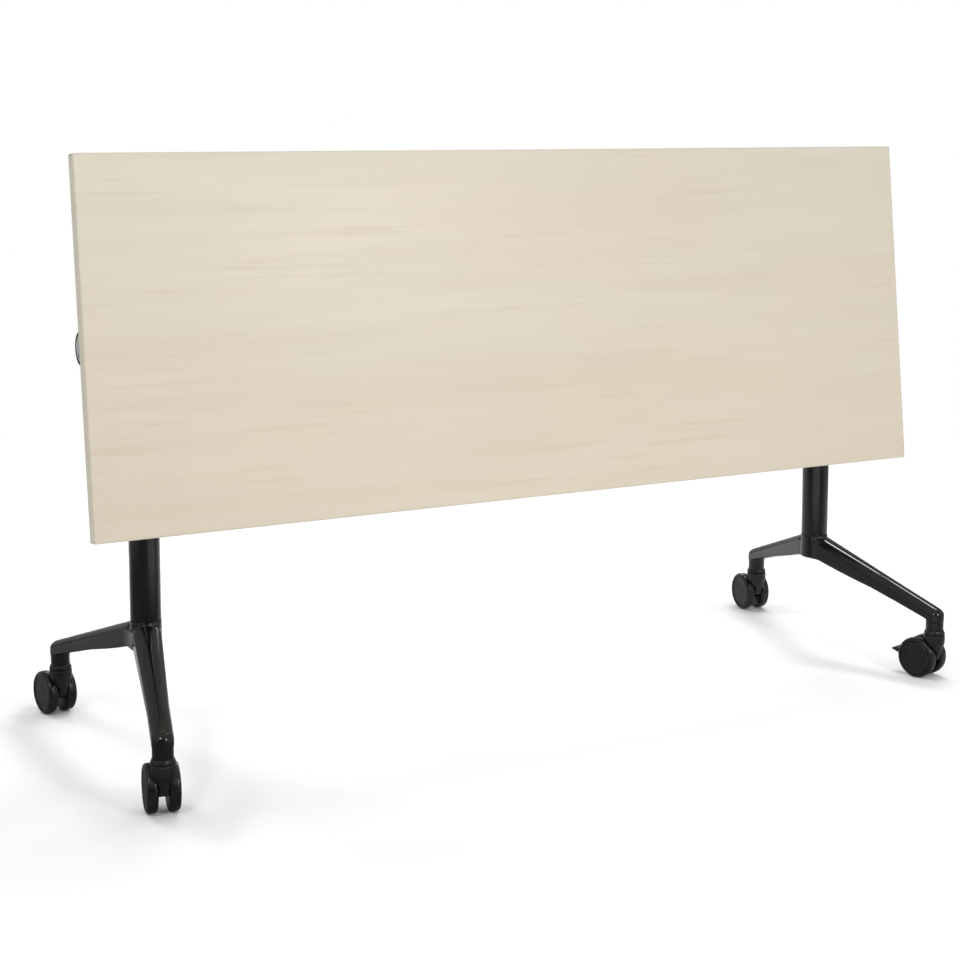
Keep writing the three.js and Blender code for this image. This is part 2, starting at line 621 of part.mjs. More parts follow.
const acrossNeck = (shape) => plateAcrossX(shape, -NECK_HALF_WIDTH, NECK_HALF_WIDTH);
const throughNeck = (shape) => plateAcrossX(shape, -CASTER_TOP_RADIUS, CASTER_TOP_RADIUS);
const ontoAxle = (geometry) => geometry.translate(0, CASTER_TRAIL, WHEEL_RADIUS);

function neckOutline() {
  return polygon([
    [NECK.front, CONE.bottom],
    [CASTER_TRAIL, WHEEL_RADIUS - NECK.bossRadius],
    [CASTER_TRAIL + NECK.bossRadius, WHEEL_RADIUS],
    [CASTER_TRAIL + NECK.slope, NECK.rearTop],
    [NECK.rear, NECK.top],
    [NECK.front, NECK.top],
  ]);
}

function casterBody(braked) {
  const cone = [[0, CONE.bottom], [CONE.bottomRadius, CONE.bottom], [CONE.shoulderRadius, CONE.shoulder]];
  cone.push([CASTER_TOP_RADIUS, CONE.rim], [CASTER_TOP_RADIUS, bodyTop], [0, bodyTop]);
  const axleBoss = acrossNeck(disc(CASTER_TRAIL, WHEEL_RADIUS, NECK.bossRadius, ROUND));
  const wheelNear = WHEEL_INNER_FACE - WHEEL_SIDE_CLEARANCE;
  const wheelFar = CASTER_TOP_RADIUS + PASS;
  const tools = [-1, 1].map((side) =>
    ontoAxle(rod(WHEEL_RADIUS + WHEEL_CLEARANCE, wheelNear, wheelFar, 'x', ROUND).scale(side, 1, 1)));
  tools.push(throughNeck(disc(CASTER_TRAIL, WHEEL_RADIUS, AXLE_RADIUS + GAP, SMALL_ROUND)));
  tools.push(rod(STEM_RADIUS + RUNNING_GAP, STEM_FOOT - PASS, bodyTop + PASS, 'z', SMALL_ROUND));
  let metal = joined(turned(cone, 'z', ROUND), axleBoss, acrossNeck(neckOutline()));
  if (braked) {
    const claw = disc(LEVER_PIVOT_Y - CLAW.setBack, LEVER_PIVOT_Z, CLAW.radius, SMALL_ROUND);
    metal = metal.add(solid(acrossNeck(claw)));
    const socket = disc(LEVER_PIVOT_Y, LEVER_PIVOT_Z, KNUCKLE_RADIUS + RUNNING_GAP, SMALL_ROUND);
    const mouth = polygon([
      [LEVER_PIVOT_Y, LEVER_PIVOT_Z],
      [LEVER_PIVOT_Y + CLAW.mouthDepth, LEVER_PIVOT_Z - CLAW.mouthHalf],
      [LEVER_PIVOT_Y + CLAW.mouthDepth, LEVER_PIVOT_Z + CLAW.mouthHalf],
    ]);
    tools.push(throughNeck(socket), throughNeck(mouth));
  }
  return cut(metal, ...tools);
}

// Each wheel stands on one of its facets, so its corners lie a little outside the wheel radius
function casterWheel(side) {
  const halfFacet = Math.PI / ROUND;
  const tread = WHEEL_RADIUS / Math.cos(halfFacet);
  const bore = AXLE_RADIUS + RUNNING_GAP;
  const inset = { radius: 30.5, floor: WHEEL_WIDTH - 1 };
  const shoulder = 4;
  const profile = [[0, WHEEL_BORE_DEPTH], [bore, WHEEL_BORE_DEPTH], [bore, 0]];
  profile.push([tread - shoulder, 0], [tread, shoulder]);
  profile.push([tread, WHEEL_WIDTH - shoulder], [tread - shoulder, WHEEL_WIDTH]);
  profile.push([inset.radius, WHEEL_WIDTH], [inset.radius, inset.floor], [0, inset.floor]);
  const placed = profile.map(([r, x]) => [r, side * (WHEEL_INNER_FACE + x)]);
  return ontoAxle(turned(placed, 'x', ROUND).rotateX(halfFacet));
}

const PEDAL = { from: 65, bottom: 33, top: 45, tipBottom: 39.5, tip: 41, tipTop: 44.5 };
const STALK = { half: 3, endBottom: 38, endTop: 44 };

function brakeLever() {
  const thinHalf = NECK_HALF_WIDTH - 0.2;
  const knuckle = disc(LEVER_PIVOT_Y, LEVER_PIVOT_Z, KNUCKLE_RADIUS, SMALL_ROUND);
  const stalkEnd = PEDAL.from + 2;
  const stalk = polygon([
    [LEVER_PIVOT_Y, LEVER_PIVOT_Z + STALK.half],
    [stalkEnd, STALK.endTop],
    [stalkEnd, STALK.endBottom],
    [LEVER_PIVOT_Y, LEVER_PIVOT_Z - STALK.half],
  ]);
  const pedal = polygon([
    [PEDAL.from, PEDAL.bottom],
    [LEVER_TIP_Y - 2, PEDAL.tipBottom],
    [LEVER_TIP_Y, PEDAL.tip],
    [LEVER_TIP_Y - 6, PEDAL.tipTop],
    [PEDAL.from, PEDAL.top],
  ]);
  return joined(
    plateAcrossX(knuckle, -thinHalf, thinHalf),
    plateAcrossX(stalk, -thinHalf, thinHalf),
    plateAcrossX(pedal, -LEVER_HALF_WIDTH, LEVER_HALF_WIDTH),
  );
}

for (const [sideName, side] of Object.entries(SIDES)) {
  for (const [endName, end] of Object.entries(ENDS)) {
    const place = `${sideName}_${endName}`;
    const socket = group(table, side * (COLUMN_X + SOCKET_OUTBOARD), end * SOCKET_REACH, 0);
    const stemTop = ARM_TOP_AT_SOCKET - ARM_CROWN - GAP;
    const stem = rod(STEM_RADIUS, STEM_FOOT, stemTop, 'z', SMALL_ROUND);
    piece(socket, `caster_stem_${place}`, stem, zincSteel());

    const caster = group(socket);
    caster.rotation.z = radians(SWIVEL[place]);
    const braked = BRAKED.includes(place);
    piece(caster, `caster_body_${place}`, casterBody(braked), blackNylon());

    const axleReach = WHEEL_INNER_FACE + WHEEL_BORE_DEPTH - GAP;
    const axle = ontoAxle(rod(AXLE_RADIUS, -axleReach, axleReach, 'x', SMALL_ROUND));
    piece(caster, `caster_axle_${place}`, axle, zincSteel());
    piece(caster, `wheel_a_${place}`, casterWheel(-1), blackNylon());
    piece(caster, `wheel_b_${place}`, casterWheel(1), blackNylon());
    if (braked) piece(caster, `brake_lever_${place}`, brakeLever(), blackNylon());
  }
}

export default table;
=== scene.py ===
import math

import bpy
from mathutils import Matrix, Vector


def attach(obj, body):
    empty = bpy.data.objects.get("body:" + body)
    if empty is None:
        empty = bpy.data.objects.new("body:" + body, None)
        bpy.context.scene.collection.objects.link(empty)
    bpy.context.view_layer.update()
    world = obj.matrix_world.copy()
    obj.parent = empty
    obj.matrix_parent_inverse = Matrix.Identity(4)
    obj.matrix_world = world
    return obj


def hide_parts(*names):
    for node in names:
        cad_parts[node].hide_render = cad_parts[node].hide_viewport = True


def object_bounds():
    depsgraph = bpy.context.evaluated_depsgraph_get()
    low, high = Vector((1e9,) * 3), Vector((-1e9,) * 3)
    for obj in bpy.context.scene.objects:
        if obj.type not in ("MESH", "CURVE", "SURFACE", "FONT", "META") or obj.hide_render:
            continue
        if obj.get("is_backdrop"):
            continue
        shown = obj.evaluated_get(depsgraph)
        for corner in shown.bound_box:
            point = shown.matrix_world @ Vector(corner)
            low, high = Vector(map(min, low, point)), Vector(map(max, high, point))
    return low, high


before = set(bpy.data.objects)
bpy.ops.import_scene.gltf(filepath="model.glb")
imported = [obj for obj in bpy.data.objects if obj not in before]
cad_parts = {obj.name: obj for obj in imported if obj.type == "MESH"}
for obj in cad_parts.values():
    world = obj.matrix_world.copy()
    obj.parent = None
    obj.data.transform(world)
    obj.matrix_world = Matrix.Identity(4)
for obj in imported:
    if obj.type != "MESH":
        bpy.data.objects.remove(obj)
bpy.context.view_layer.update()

# The two feet are aluminium die castings: a hub under the column and two splayed arms that run down
# to the caster sockets. Each is cast in one piece, ground smooth, powder coated in gloss black and
# drawn up against its column by one long bolt through the hub.
LEG_X = 0.682
HUB_RADIUS, HUB_BOTTOM, HUB_TOP = 0.0256, 0.183, 0.228
SOCKET_OUT, SOCKET_REACH = 0.067, 0.276
SOCKET_RADIUS, SOCKET_BOTTOM = 0.0163, 0.083
STEM_HOLE, STEM_HOLE_TOP = 0.0058, 0.1232
STEP_LOW, STEP_HIGH, DOME_CENTRE = 0.1085, 0.1095, 0.1159
RECESS_RADIUS, RECESS_TOP = 0.012, 0.193
ARM_TOP, ARM_FALL, ARM_CROWN = 0.224, 0.089, 0.012
ARM_BOTTOM, BOTTOM_FALL = 0.185, 0.076
ARM_SAG, SAG_CENTRE, SAG_SPAN = 0.004, 0.035, 0.115
ROOT_HALF, TIP_HALF, TAPER = 0.023, 0.017, 1.4
ARM_STATIONS = (-0.005, 0.010, HUB_RADIUS, 0.045, 0.070, 0.100, 0.150, 0.2105)
GLOSS_BLACK = (0.0045, 0.0045, 0.0048, 1)


def pen(name, points):
    """Draws one wire from point to point and leaves it selected in edit mode."""
    bpy.ops.object.select_all(action="DESELECT")
    bpy.ops.mesh.primitive_plane_add(size=0.001)
    drawn = bpy.context.object
    drawn.name = name
    bpy.ops.object.mode_set(mode="EDIT")
    bpy.ops.mesh.merge(type="CENTER")
    bpy.ops.transform.translate(value=points[0])
    for start, stop in zip(points, points[1:]):
        step = Vector(stop) - Vector(start)
        bpy.ops.mesh.extrude_region_move(TRANSFORM_OT_translate={"value": step})
    bpy.ops.mesh.select_all(action="SELECT")
    return drawn


def close_up(piece):
    """Merges doubles, turns the faces outwards and leaves edit mode."""
    bpy.ops.mesh.select_all(action="SELECT")
    bpy.ops.mesh.remove_doubles(threshold=1e-6)
    bpy.ops.mesh.normals_make_consistent(inside=False)
    bpy.ops.object.mode_set(mode="OBJECT")
    return piece


def turn(name, profile, axis="Z", steps=72):
    """Spins a profile of (radius, distance along) once round X or Z."""
    upright = axis == "Z"
    turned = pen(name, [(r, 0, h) if upright else (h, r, 0) for r, h in profile])
    direction = (0, 0, 1) if upright else (1, 0, 0)
    bpy.ops.mesh.spin(steps=steps, angle=math.tau, center=(0, 0, 0), axis=direction)
    return close_up(turned)


def bar(radius, low, high):
    """The profile of a plain round bar."""
    return [(0, low), (radius, low), (radius, high), (0, high)]


def prism(name, outline, sweep):
    """Fills an outline of 3-D points and extrudes it by the sweep."""
    plate = pen(name, outline)
    bpy.ops.mesh.edge_face_add()
    bpy.ops.mesh.extrude_region_move(TRANSFORM_OT_translate={"value": sweep})
    return close_up(plate)


def take(*pieces):
    """Selects these pieces alone, the first one active."""
    bpy.ops.object.select_all(action="DESELECT")
    for piece in pieces:
        piece.select_set(True)
    bpy.context.view_layer.objects.active = pieces[0]


def joined(name, pieces):
    """Makes one piece of several and keeps their places in its mesh."""
    take(*pieces)
    bpy.ops.object.join()
    whole = bpy.context.object
    whole.name = name
    bpy.ops.object.transform_apply(location=True, rotation=True, scale=True)
    return whole


def applied(piece, kind, **settings):
    """Adds one modifier with its settings and applies it."""
    take(piece)
    bpy.ops.object.modifier_add(type=kind)
    modifier = piece.modifiers[-1]
    for key, value in settings.items():
        setattr(modifier, key, value)
    bpy.ops.object.modifier_apply(modifier=modifier.name)
    return piece


def cast(name, forms, grain, rounds):
    """Fuses overlapping rough forms into one casting and eases its corners into fillets."""
    casting = joined(name, forms)
    applied(casting, "REMESH", mode="VOXEL", voxel_size=grain)
    if rounds:
        applied(casting, "SMOOTH", factor=0.5, iterations=rounds)
    bpy.ops.object.shade_smooth()
    return casting


def bored(piece, *tools):
    """Cuts each tool out of the piece."""
    for tool in tools:
        applied(piece, "BOOLEAN", operation="DIFFERENCE", solver="EXACT", object=tool)
        bpy.data.objects.remove(tool)
    return piece


def skin(name, rings):
    """Bridges a row of closed sections and caps both ends."""
    hoops = []
    for number, ring in enumerate(rings):
        hoops.append(pen(f"{name}_{number}", ring))
        bpy.ops.mesh.edge_face_add()
        bpy.ops.mesh.delete(type="ONLY_FACE")
        bpy.ops.object.mode_set(mode="OBJECT")
    lofted = joined(name, hoops)
    bpy.ops.object.mode_set(mode="EDIT")
    bpy.ops.mesh.select_all(action="SELECT")
    bpy.ops.mesh.bridge_edge_loops()
    bpy.ops.mesh.select_all(action="SELECT")
    bpy.ops.mesh.fill_holes(sides=0)
    return close_up(lofted)


def twin(piece, name, mirrored=False):
    """A copy with its own mesh, mirrored across the middle of the table where asked."""
    copy = piece.copy()
    copy.data = piece.data.copy()
    copy.name = name
    bpy.context.scene.collection.objects.link(copy)
    if mirrored:
        take(copy)
        copy.scale.x = -1
        bpy.ops.object.transform_apply(location=True, rotation=True, scale=True)
        bpy.ops.object.mode_set(mode="EDIT")
        close_up(copy)
    return copy


def feed(tree, socket, value):
    """Links a socket to the one that feeds it, or sets it to a plain value."""
    if isinstance(value, bpy.types.NodeSocket):
        tree.links.new(value, socket)
    else:
        socket.default_value = value


def add(tree, kind, **inputs):
    """Adds a shader node, linking or setting its inputs by name."""
    made = tree.nodes.new(kind)
    for label, value in inputs.items():
        feed(tree, made.inputs[label.replace("_", " ")], value)
    return made


def effect(name, takes, gives):
    """Starts a shader group with named inputs and outputs."""
    tree = bpy.data.node_groups.new(name, "ShaderNodeTree")
    for label, kind, value in takes:
        tree.interface.new_socket(name=label, in_out="INPUT", socket_type=kind).default_value = value
    for label, kind in gives:
        tree.interface.new_socket(name=label, in_out="OUTPUT", socket_type=kind)
    return tree, tree.nodes.new("NodeGroupInput").outputs, tree.nodes.new("NodeGroupOutput").inputs


def ramp_of(tree, source, low, high, to_low, to_high):
    """A value rescaled from one span to another."""
    spans = {"From_Min": low, "From_Max": high, "To_Min": to_low, "To_Max": to_high}
    return add(tree, "ShaderNodeMapRange", Value=source, **spans).outputs["Result"]


def blended(tree, share, first, second):
    """A colour mixed from two others."""
    made = tree.nodes.new("ShaderNodeMix")
    made.data_type = "RGBA"
    for socket, value in zip((made.inputs[0], made.inputs[6], made.inputs[7]), (share, first, second)):
        feed(tree, socket, value)
    return made.outputs[2]


def product(tree, first, second):
    """One value times another."""
    made = tree.nodes.new("ShaderNodeMath")
    made.operation = "MULTIPLY"
    for socket, value in zip(made.inputs, (first, second)):
        feed(tree, socket, value)
    return made.outputs[0]


def noise(tree, scale, detail):
    """Unevenness that stays with the piece."""
    place = add(tree, "ShaderNodeTexCoord").outputs["Object"]
    return add(tree, "ShaderNodeTexNoise", Vector=place, Scale=scale, Detail=detail).outputs[0]


COLOUR, NUMBER, VECTOR = "NodeSocketColor", "NodeSocketFloat", "NodeSocketVector"
LOOK = [("Colour", COLOUR), ("Roughness", NUMBER), ("Normal", VECTOR)]
sprayed_coat, given, result = effect(
    "sprayed_coat",
    [("Colour", COLOUR, (0, 0, 0, 1)), ("Roughness", NUMBER, 0.2), ("Peel", NUMBER, 0.2)],
    LOOK,
)
peel = noise(sprayed_coat, scale=420, detail=2)
dimples = add(sprayed_coat, "ShaderNodeBump", Strength=given["Peel"], Distance=0.0002, Height=peel)
smears = ramp_of(sprayed_coat, noise(sprayed_coat, scale=9, detail=5), 0.3, 0.7, 0.75, 1.4)
specks = noise(sprayed_coat, scale=160, detail=6)
surface = add(sprayed_coat, "ShaderNodeNewGeometry").outputs["Normal"]
upward = add(sprayed_coat, "ShaderNodeSeparateXYZ", Vector=surface)
settled = product(
    sprayed_coat,
    ramp_of(sprayed_coat, upward.outputs["Z"], 0.2, 1, 0, 0.014),
    ramp_of(sprayed_coat, specks, 0.45, 0.7, 0, 1),
)
dusted = blended(sprayed_coat, settled, given["Colour"], (0.3, 0.29, 0.27, 1))
sprayed_coat.links.new(dusted, result["Colour"])
sprayed_coat.links.new(product(sprayed_coat, given["Roughness"], smears), result["Roughness"])
sprayed_coat.links.new(dimples.outputs[0], result["Normal"])


def finish_with(name, group, gives, values, **constants):
    """A material whose shader takes the group's outputs, with its plain values set on its own sockets."""
    material = bpy.data.materials.new(name)
    material.use_nodes = True
    tree = material.node_tree
    shader = tree.nodes["Principled BSDF"]
    for label, value in constants.items():
        shader.inputs[label.replace("_", " ")].default_value = value
    pattern = tree.nodes.new("ShaderNodeGroup")
    pattern.name = "pattern"
    pattern.node_tree = group
    for label, value in values.items():
        pattern.inputs[label].default_value = value
    for label, socket in gives.items():
        tree.links.new(pattern.outputs[label], shader.inputs[socket])
    return material


COATED = {"Colour": "Base Color", "Roughness": "Roughness", "Normal": "Normal"}
cast_black = finish_with(
    "gloss_black_casting", sprayed_coat, COATED,
    {"Colour": GLOSS_BLACK, "Roughness": 0.10, "Peel": 0.05}, IOR=1.48,
)


def dressed(piece, material, body, slot, *nodes):
    """Gives a piece its finish, its body and the nodes it stands for."""
    piece.data.materials.clear()
    piece.data.materials.append(material)
    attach(piece, body)
    if nodes:
        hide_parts(*nodes)
    return piece


def arm_sections(tip):
    """The rings of one arm: a flat sole, upright flanks and an arched crown."""
    reach = tip.length
    along = tip.normalized()
    across = Vector((-along.y, along.x, 0))
    chamfer, arch_steps = 0.0025, 22
    rings = []
    for s in (*ARM_STATIONS, reach + 0.003):
        t = max(0, (s - HUB_RADIUS) / (reach - HUB_RADIUS))
        half = ROOT_HALF - (ROOT_HALF - TIP_HALF) * min(1, TAPER * t)
        top = ARM_TOP - ARM_FALL * t
        sag = ARM_SAG * max(0, 1 - ((s - SAG_CENTRE) / SAG_SPAN) ** 2)
        bottom = ARM_BOTTOM - BOTTOM_FALL * t - sag
        ring = [(-half, bottom + chamfer), (-half + chamfer, bottom)]
        ring += [(half - chamfer, bottom), (half, bottom + chamfer)]
        bow = (half ** 2 + ARM_CROWN ** 2) / (2 * ARM_CROWN)
        for i in range(arch_steps + 1):
            a = math.asin(half / bow) * (1 - 2 * i / arch_steps)
            ring.append((bow * math.sin(a), top - bow * (1 - math.cos(a))))
        centre = Vector((-LEG_X, 0, 0)) + along * s
        rings.append([centre + across * a + Vector((0, 0, z)) for a, z in ring])
    return rings


hub = turn("hub", bar(HUB_RADIUS, HUB_BOTTOM, HUB_TOP), steps=96)
hub.location.x = -LEG_X
forms = [hub]
tip_bow = (TIP_HALF ** 2 + ARM_CROWN ** 2) / (2 * ARM_CROWN)
tip_lean = math.asin(TIP_HALF / tip_bow)
dome = [tip_lean * i / 10 for i in range(10, -1, -1)]
post_profile = [(0, SOCKET_BOTTOM), (SOCKET_RADIUS, SOCKET_BOTTOM)]
post_profile += [(SOCKET_RADIUS, STEP_LOW), (TIP_HALF, STEP_HIGH)]
post_profile += [(tip_bow * math.sin(a), DOME_CENTRE + tip_bow * math.cos(a)) for a in dome]
for end in (-1, 1):
    tip = Vector((-SOCKET_OUT, end * SOCKET_REACH, 0))
    forms.append(skin("arm", arm_sections(tip)))
    post = turn("socket", post_profile)
    post.location = (-LEG_X - SOCKET_OUT, end * SOCKET_REACH, 0)
    forms.append(post)

# between the arms the outer flanks run into each other in one broad sweep
SWEEP_RADIUS, SWEEP_CENTRE, SWEEP_HALF = 0.165, -0.1927, math.radians(14.5)
SWEEP_FLOOR, SWEEP_BACK = 0.1825, -0.015 - LEG_X
sweep_rings = []
arm_reach = math.hypot(SOCKET_OUT, SOCKET_REACH)
for a in [SWEEP_HALF * (i / 10 - 1) for i in range(21)]:
    x = SWEEP_CENTRE + SWEEP_RADIUS * math.cos(a) - LEG_X
    y = SWEEP_RADIUS * math.sin(a)
    along_arm = abs(y) * arm_reach / SOCKET_REACH
    t = max(0, (along_arm - HUB_RADIUS) / (arm_reach - HUB_RADIUS))
    shoulder = ARM_TOP - ARM_FALL * t - ARM_CROWN
    ring = [(SWEEP_BACK, y, SWEEP_FLOOR), (x, y, SWEEP_FLOOR), (x, y, shoulder), (SWEEP_BACK, y, shoulder)]
    sweep_rings.append(ring)
forms.append(skin("sweep", sweep_rings))
left_foot = cast("left_foot", forms, grain=0.0011, rounds=8)
recess = turn("recess", bar(RECESS_RADIUS, 0.170, RECESS_TOP), steps=48)
recess.location.x = -LEG_X
bored(left_foot, recess)
for end in (-1, 1):
    stem_bore = turn("stem_bore", bar(STEM_HOLE, 0.080, STEM_HOLE_TOP), steps=48)
    stem_bore.location = (-LEG_X - SOCKET_OUT, end * SOCKET_REACH, 0)
    bored(left_foot, stem_bore)
right_foot = twin(left_foot, "right_foot", mirrored=True)


def crisp(piece, degrees=50):
    """Shades a piece smooth but keeps the edges that are sharper than this."""
    take(piece)
    bpy.ops.object.shade_smooth_by_angle(angle=math.radians(degrees))
    return piece


for side, foot in (("left", left_foot), ("right", right_foot)):
    dressed(crisp(foot), cast_black, "frame", "black_casting", f"foot_{side}")

# The two columns are lengths of 50 mm steel tube, sawn square, powder coated in gloss black and
# clamped between the foot below and the head above.
COLUMN_RADIUS, COLUMN_BORE, COLUMN_BOTTOM, COLUMN_TOP = 0.025, 0.023, 0.2283, 0.629


def eased(piece, width, segments=3):
    """Rounds the sharp edges a little and shades the rest smooth."""
    applied(
        piece, "BEVEL", width=width, segments=segments, limit_method="ANGLE",
        angle_limit=math.radians(35),
    )
    return crisp(piece, 40)


def settle(piece, location=(0, 0, 0), rotation=(0, 0, 0)):
    """Moves a piece to its place and keeps that place in its mesh."""
    take(piece)
    piece.location = location
    piece.rotation_euler = rotation
    bpy.ops.object.transform_apply(location=True, rotation=True, scale=True)
    return piece


def wall(inner, outer, low, high):
    """The closed profile of a tube wall."""
    return [(inner, low), (outer, low), (outer, high), (inner, high), (inner, low)]


tube_black = finish_with(
    "gloss_black_tube", sprayed_coat, COATED,
    {"Colour": GLOSS_BLACK, "Roughness": 0.08, "Peel": 0.04}, IOR=1.48,
)
column_wall = wall(COLUMN_BORE, COLUMN_RADIUS, COLUMN_BOTTOM, COLUMN_TOP)
column = eased(turn("left_column", column_wall, steps=96), 0.0005)


def at_both_legs(piece, height, material, slot, node=None):
    """Stands a left piece and its copy at the two legs and dresses both."""
    copy = twin(piece, piece.name.replace("left", "right"))
    for side, made, x in (("left", piece, -LEG_X), ("right", copy, LEG_X)):
        settle(made, (x, 0, height))
        dressed(made, material, "frame", slot, *([f"{node}_{side}"] if node else []))


at_both_legs(column, 0, tube_black, "black_tube", "column")

# Inside each column a zinc plated steel plug is welded at the foot end, and one socket-head bolt
# comes up through the hub into its thread. The plugs are out of sight, so their solids stay.
BOLT_HEAD, BOLT_SHANK, KEY_RADIUS = 0.0096, 0.006, 0.0052
BOLT_BOTTOM, BOLT_SEAT, BOLT_END = 0.1847, 0.1927, 0.2603
zinc_plating, given, result = effect(
    "zinc_plating",
    [("Colour", COLOUR, (0.5, 0.5, 0.5, 1)), ("Roughness", NUMBER, 0.35)],
    LOOK,
)
clouds = noise(zinc_plating, scale=60, detail=4)
scratches = noise(zinc_plating, scale=1500, detail=3)
tinted = blended(
    zinc_plating, ramp_of(zinc_plating, clouds, 0.35, 0.7, 0, 0.45),
    given["Colour"], (0.36, 0.37, 0.40, 1),
)
zinc_plating.links.new(tinted, result["Colour"])
dulled = ramp_of(zinc_plating, clouds, 0.3, 0.7, 0.8, 1.3)
zinc_plating.links.new(product(zinc_plating, given["Roughness"], dulled), result["Roughness"])
fine = add(zinc_plating, "ShaderNodeBump", Strength=0.12, Distance=0.0001, Height=scratches)
zinc_plating.links.new(fine.outputs[0], result["Normal"])
zinc_steel = finish_with(
    "zinc_plated_steel", zinc_plating, COATED,
    {"Colour": (0.50, 0.51, 0.53, 1), "Roughness": 0.34}, Metallic=1.0,
)


def redressed(material, *nodes):
    """Gives solids that stay on show a finer finish."""
    for node in nodes:
        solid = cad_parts[node]
        solid.data.materials.clear()
        solid.data.materials.append(material)


redressed(zinc_steel, "column_plug_left", "column_plug_right")
bolt_profile = [(0, BOLT_BOTTOM), (BOLT_HEAD, BOLT_BOTTOM), (BOLT_HEAD, BOLT_SEAT)]
bolt_profile += [(BOLT_SHANK, BOLT_SEAT), (BOLT_SHANK, BOLT_END), (0, BOLT_END)]
bolt = eased(turn("left_column_bolt", bolt_profile, steps=48), 0.0006)


def key_hole(radius, depth, height):
    """A six-sided cutter for the hole that takes the key."""
    bpy.ops.object.select_all(action="DESELECT")
    bpy.ops.mesh.primitive_cylinder_add(vertices=6, radius=radius, depth=depth, location=(0, 0, height))
    return bpy.context.object


bored(bolt, key_hole(KEY_RADIUS, 0.010, BOLT_BOTTOM))
at_both_legs(bolt, 0, zinc_steel, "zinc_steel", "column_bolt")

# Each head is a die casting with a spigot down inside the column and a sleeve that grips the beam.
# It is coated like the feet, and a grub screw in a small boss locks the beam.
PIVOT_HEIGHT = 0.677
SLEEVE_RADIUS, SLEEVE_HALF, BEAM_RADIUS, BEAM_HOLE = 0.034, 0.030, 0.025, 0.0253
COLLAR_RADIUS, COLLAR_LOW, COLLAR_HIGH = 0.027, -0.0477, -0.0125
BOSS_ROOT, BOSS_TIP, BOSS_LENGTH = 0.008, 0.0075, 0.0365
GRUB_RADIUS, GRUB_BOTTOM, GRUB_TOP = 0.0030, 0.0262, 0.0348
BACKWARDS = (math.radians(-90), 0, 0)
sleeve = turn("sleeve", bar(SLEEVE_RADIUS, -SLEEVE_HALF, SLEEVE_HALF), "X", 96)
collar = turn("collar", bar(COLLAR_RADIUS, COLLAR_LOW, COLLAR_HIGH), steps=96)
boss = turn("boss", [(0, 0), (BOSS_ROOT, 0), (BOSS_TIP, BOSS_LENGTH), (0, BOSS_LENGTH)])
settle(boss, rotation=BACKWARDS)
head = cast("left_head", [sleeve, collar, boss], grain=0.0011, rounds=5)
bored(head, turn("bore", bar(BEAM_HOLE, -0.04, 0.04), "X", 96))
thread = turn("thread", bar(GRUB_RADIUS + 0.0001, 0.024, 0.040), steps=32)
bored(head, settle(thread, rotation=BACKWARDS))
at_both_legs(crisp(head), PIVOT_HEIGHT, cast_black, "black_casting", "head")

grub = turn("left_grub_screw", bar(GRUB_RADIUS, GRUB_BOTTOM, GRUB_TOP), steps=32)
bored(grub, key_hole(0.0017, 0.006, GRUB_TOP))
eased(grub, 0.0002, 2)
settle(grub, rotation=BACKWARDS)
at_both_legs(grub, PIVOT_HEIGHT, zinc_steel, "zinc_steel")

# The beam is a length of steel tube through both heads, sawn square and coated gloss black like the
# columns. The grub screws in the heads keep it from turning.
BEAM_HALF, BEAM_BORE = 0.774, 0.023
beam = eased(turn("tie_beam", wall(BEAM_BORE, BEAM_RADIUS, -BEAM_HALF, BEAM_HALF), "X", 96), 0.0005)
settle(beam, (0, 0, PIVOT_HEIGHT))
dressed(beam, tube_black, "frame", "black_tube", "beam")

# The end caps are nylon mouldings pushed into the ends of the beam. A flange covers the edge of the
# tube, and a shallow recess in its face takes a disc.
CAP_BASE, CAP_FACE, CAP_FLOOR, CAP_DEPTH = 0.7743, 0.780, 0.7778, 0.022
CAP_RADIUS, CAP_SPIGOT, CAP_RECESS = 0.027, 0.0227, 0.0243
moulded_grain, given, result = effect(
    "moulded_grain",
    [("Colour", COLOUR, (0, 0, 0, 1)), ("Roughness", NUMBER, 0.4), ("Grain", NUMBER, 0.3)],
    LOOK,
)
spark = noise(moulded_grain, scale=2600, detail=2)
eroded = add(moulded_grain, "ShaderNodeBump", Strength=given["Grain"], Distance=0.0001, Height=spark)
flow = noise(moulded_grain, scale=45, detail=4)
handled = ramp_of(moulded_grain, flow, 0.3, 0.7, 0.82, 1.2)
paler = blended(
    moulded_grain, ramp_of(moulded_grain, flow, 0.45, 0.8, 0, 0.03),
    given["Colour"], (0.25, 0.25, 0.25, 1),
)
moulded_grain.links.new(paler, result["Colour"])
moulded_grain.links.new(product(moulded_grain, given["Roughness"], handled), result["Roughness"])
moulded_grain.links.new(eroded.outputs[0], result["Normal"])
nylon_black = finish_with(
    "moulded_black_nylon", moulded_grain, COATED,
    {"Colour": (0.007, 0.007, 0.0073, 1), "Roughness": 0.34, "Grain": 0.2}, IOR=1.42,
)

cap_profile = [(0, CAP_BASE - CAP_DEPTH), (CAP_SPIGOT, CAP_BASE - CAP_DEPTH), (CAP_SPIGOT, CAP_BASE)]
cap_profile += [(CAP_RADIUS, CAP_BASE), (CAP_RADIUS, CAP_FACE), (CAP_RECESS, CAP_FACE)]
cap_profile += [(CAP_RECESS, CAP_FLOOR), (0, CAP_FLOOR)]
right_cap = eased(turn("right_end_cap", cap_profile, "X", 96), 0.0007)
settle(right_cap, (0, 0, PIVOT_HEIGHT))


def mirror_image(piece):
    """The left-hand copy of a right-hand piece."""
    return twin(piece, piece.name.replace("right", "left"), mirrored=True)


for side, cap in (("right", right_cap), ("left", mirror_image(right_cap))):
    dressed(cap, nylon_black, "frame", "black_nylon", f"end_cap_{side}")

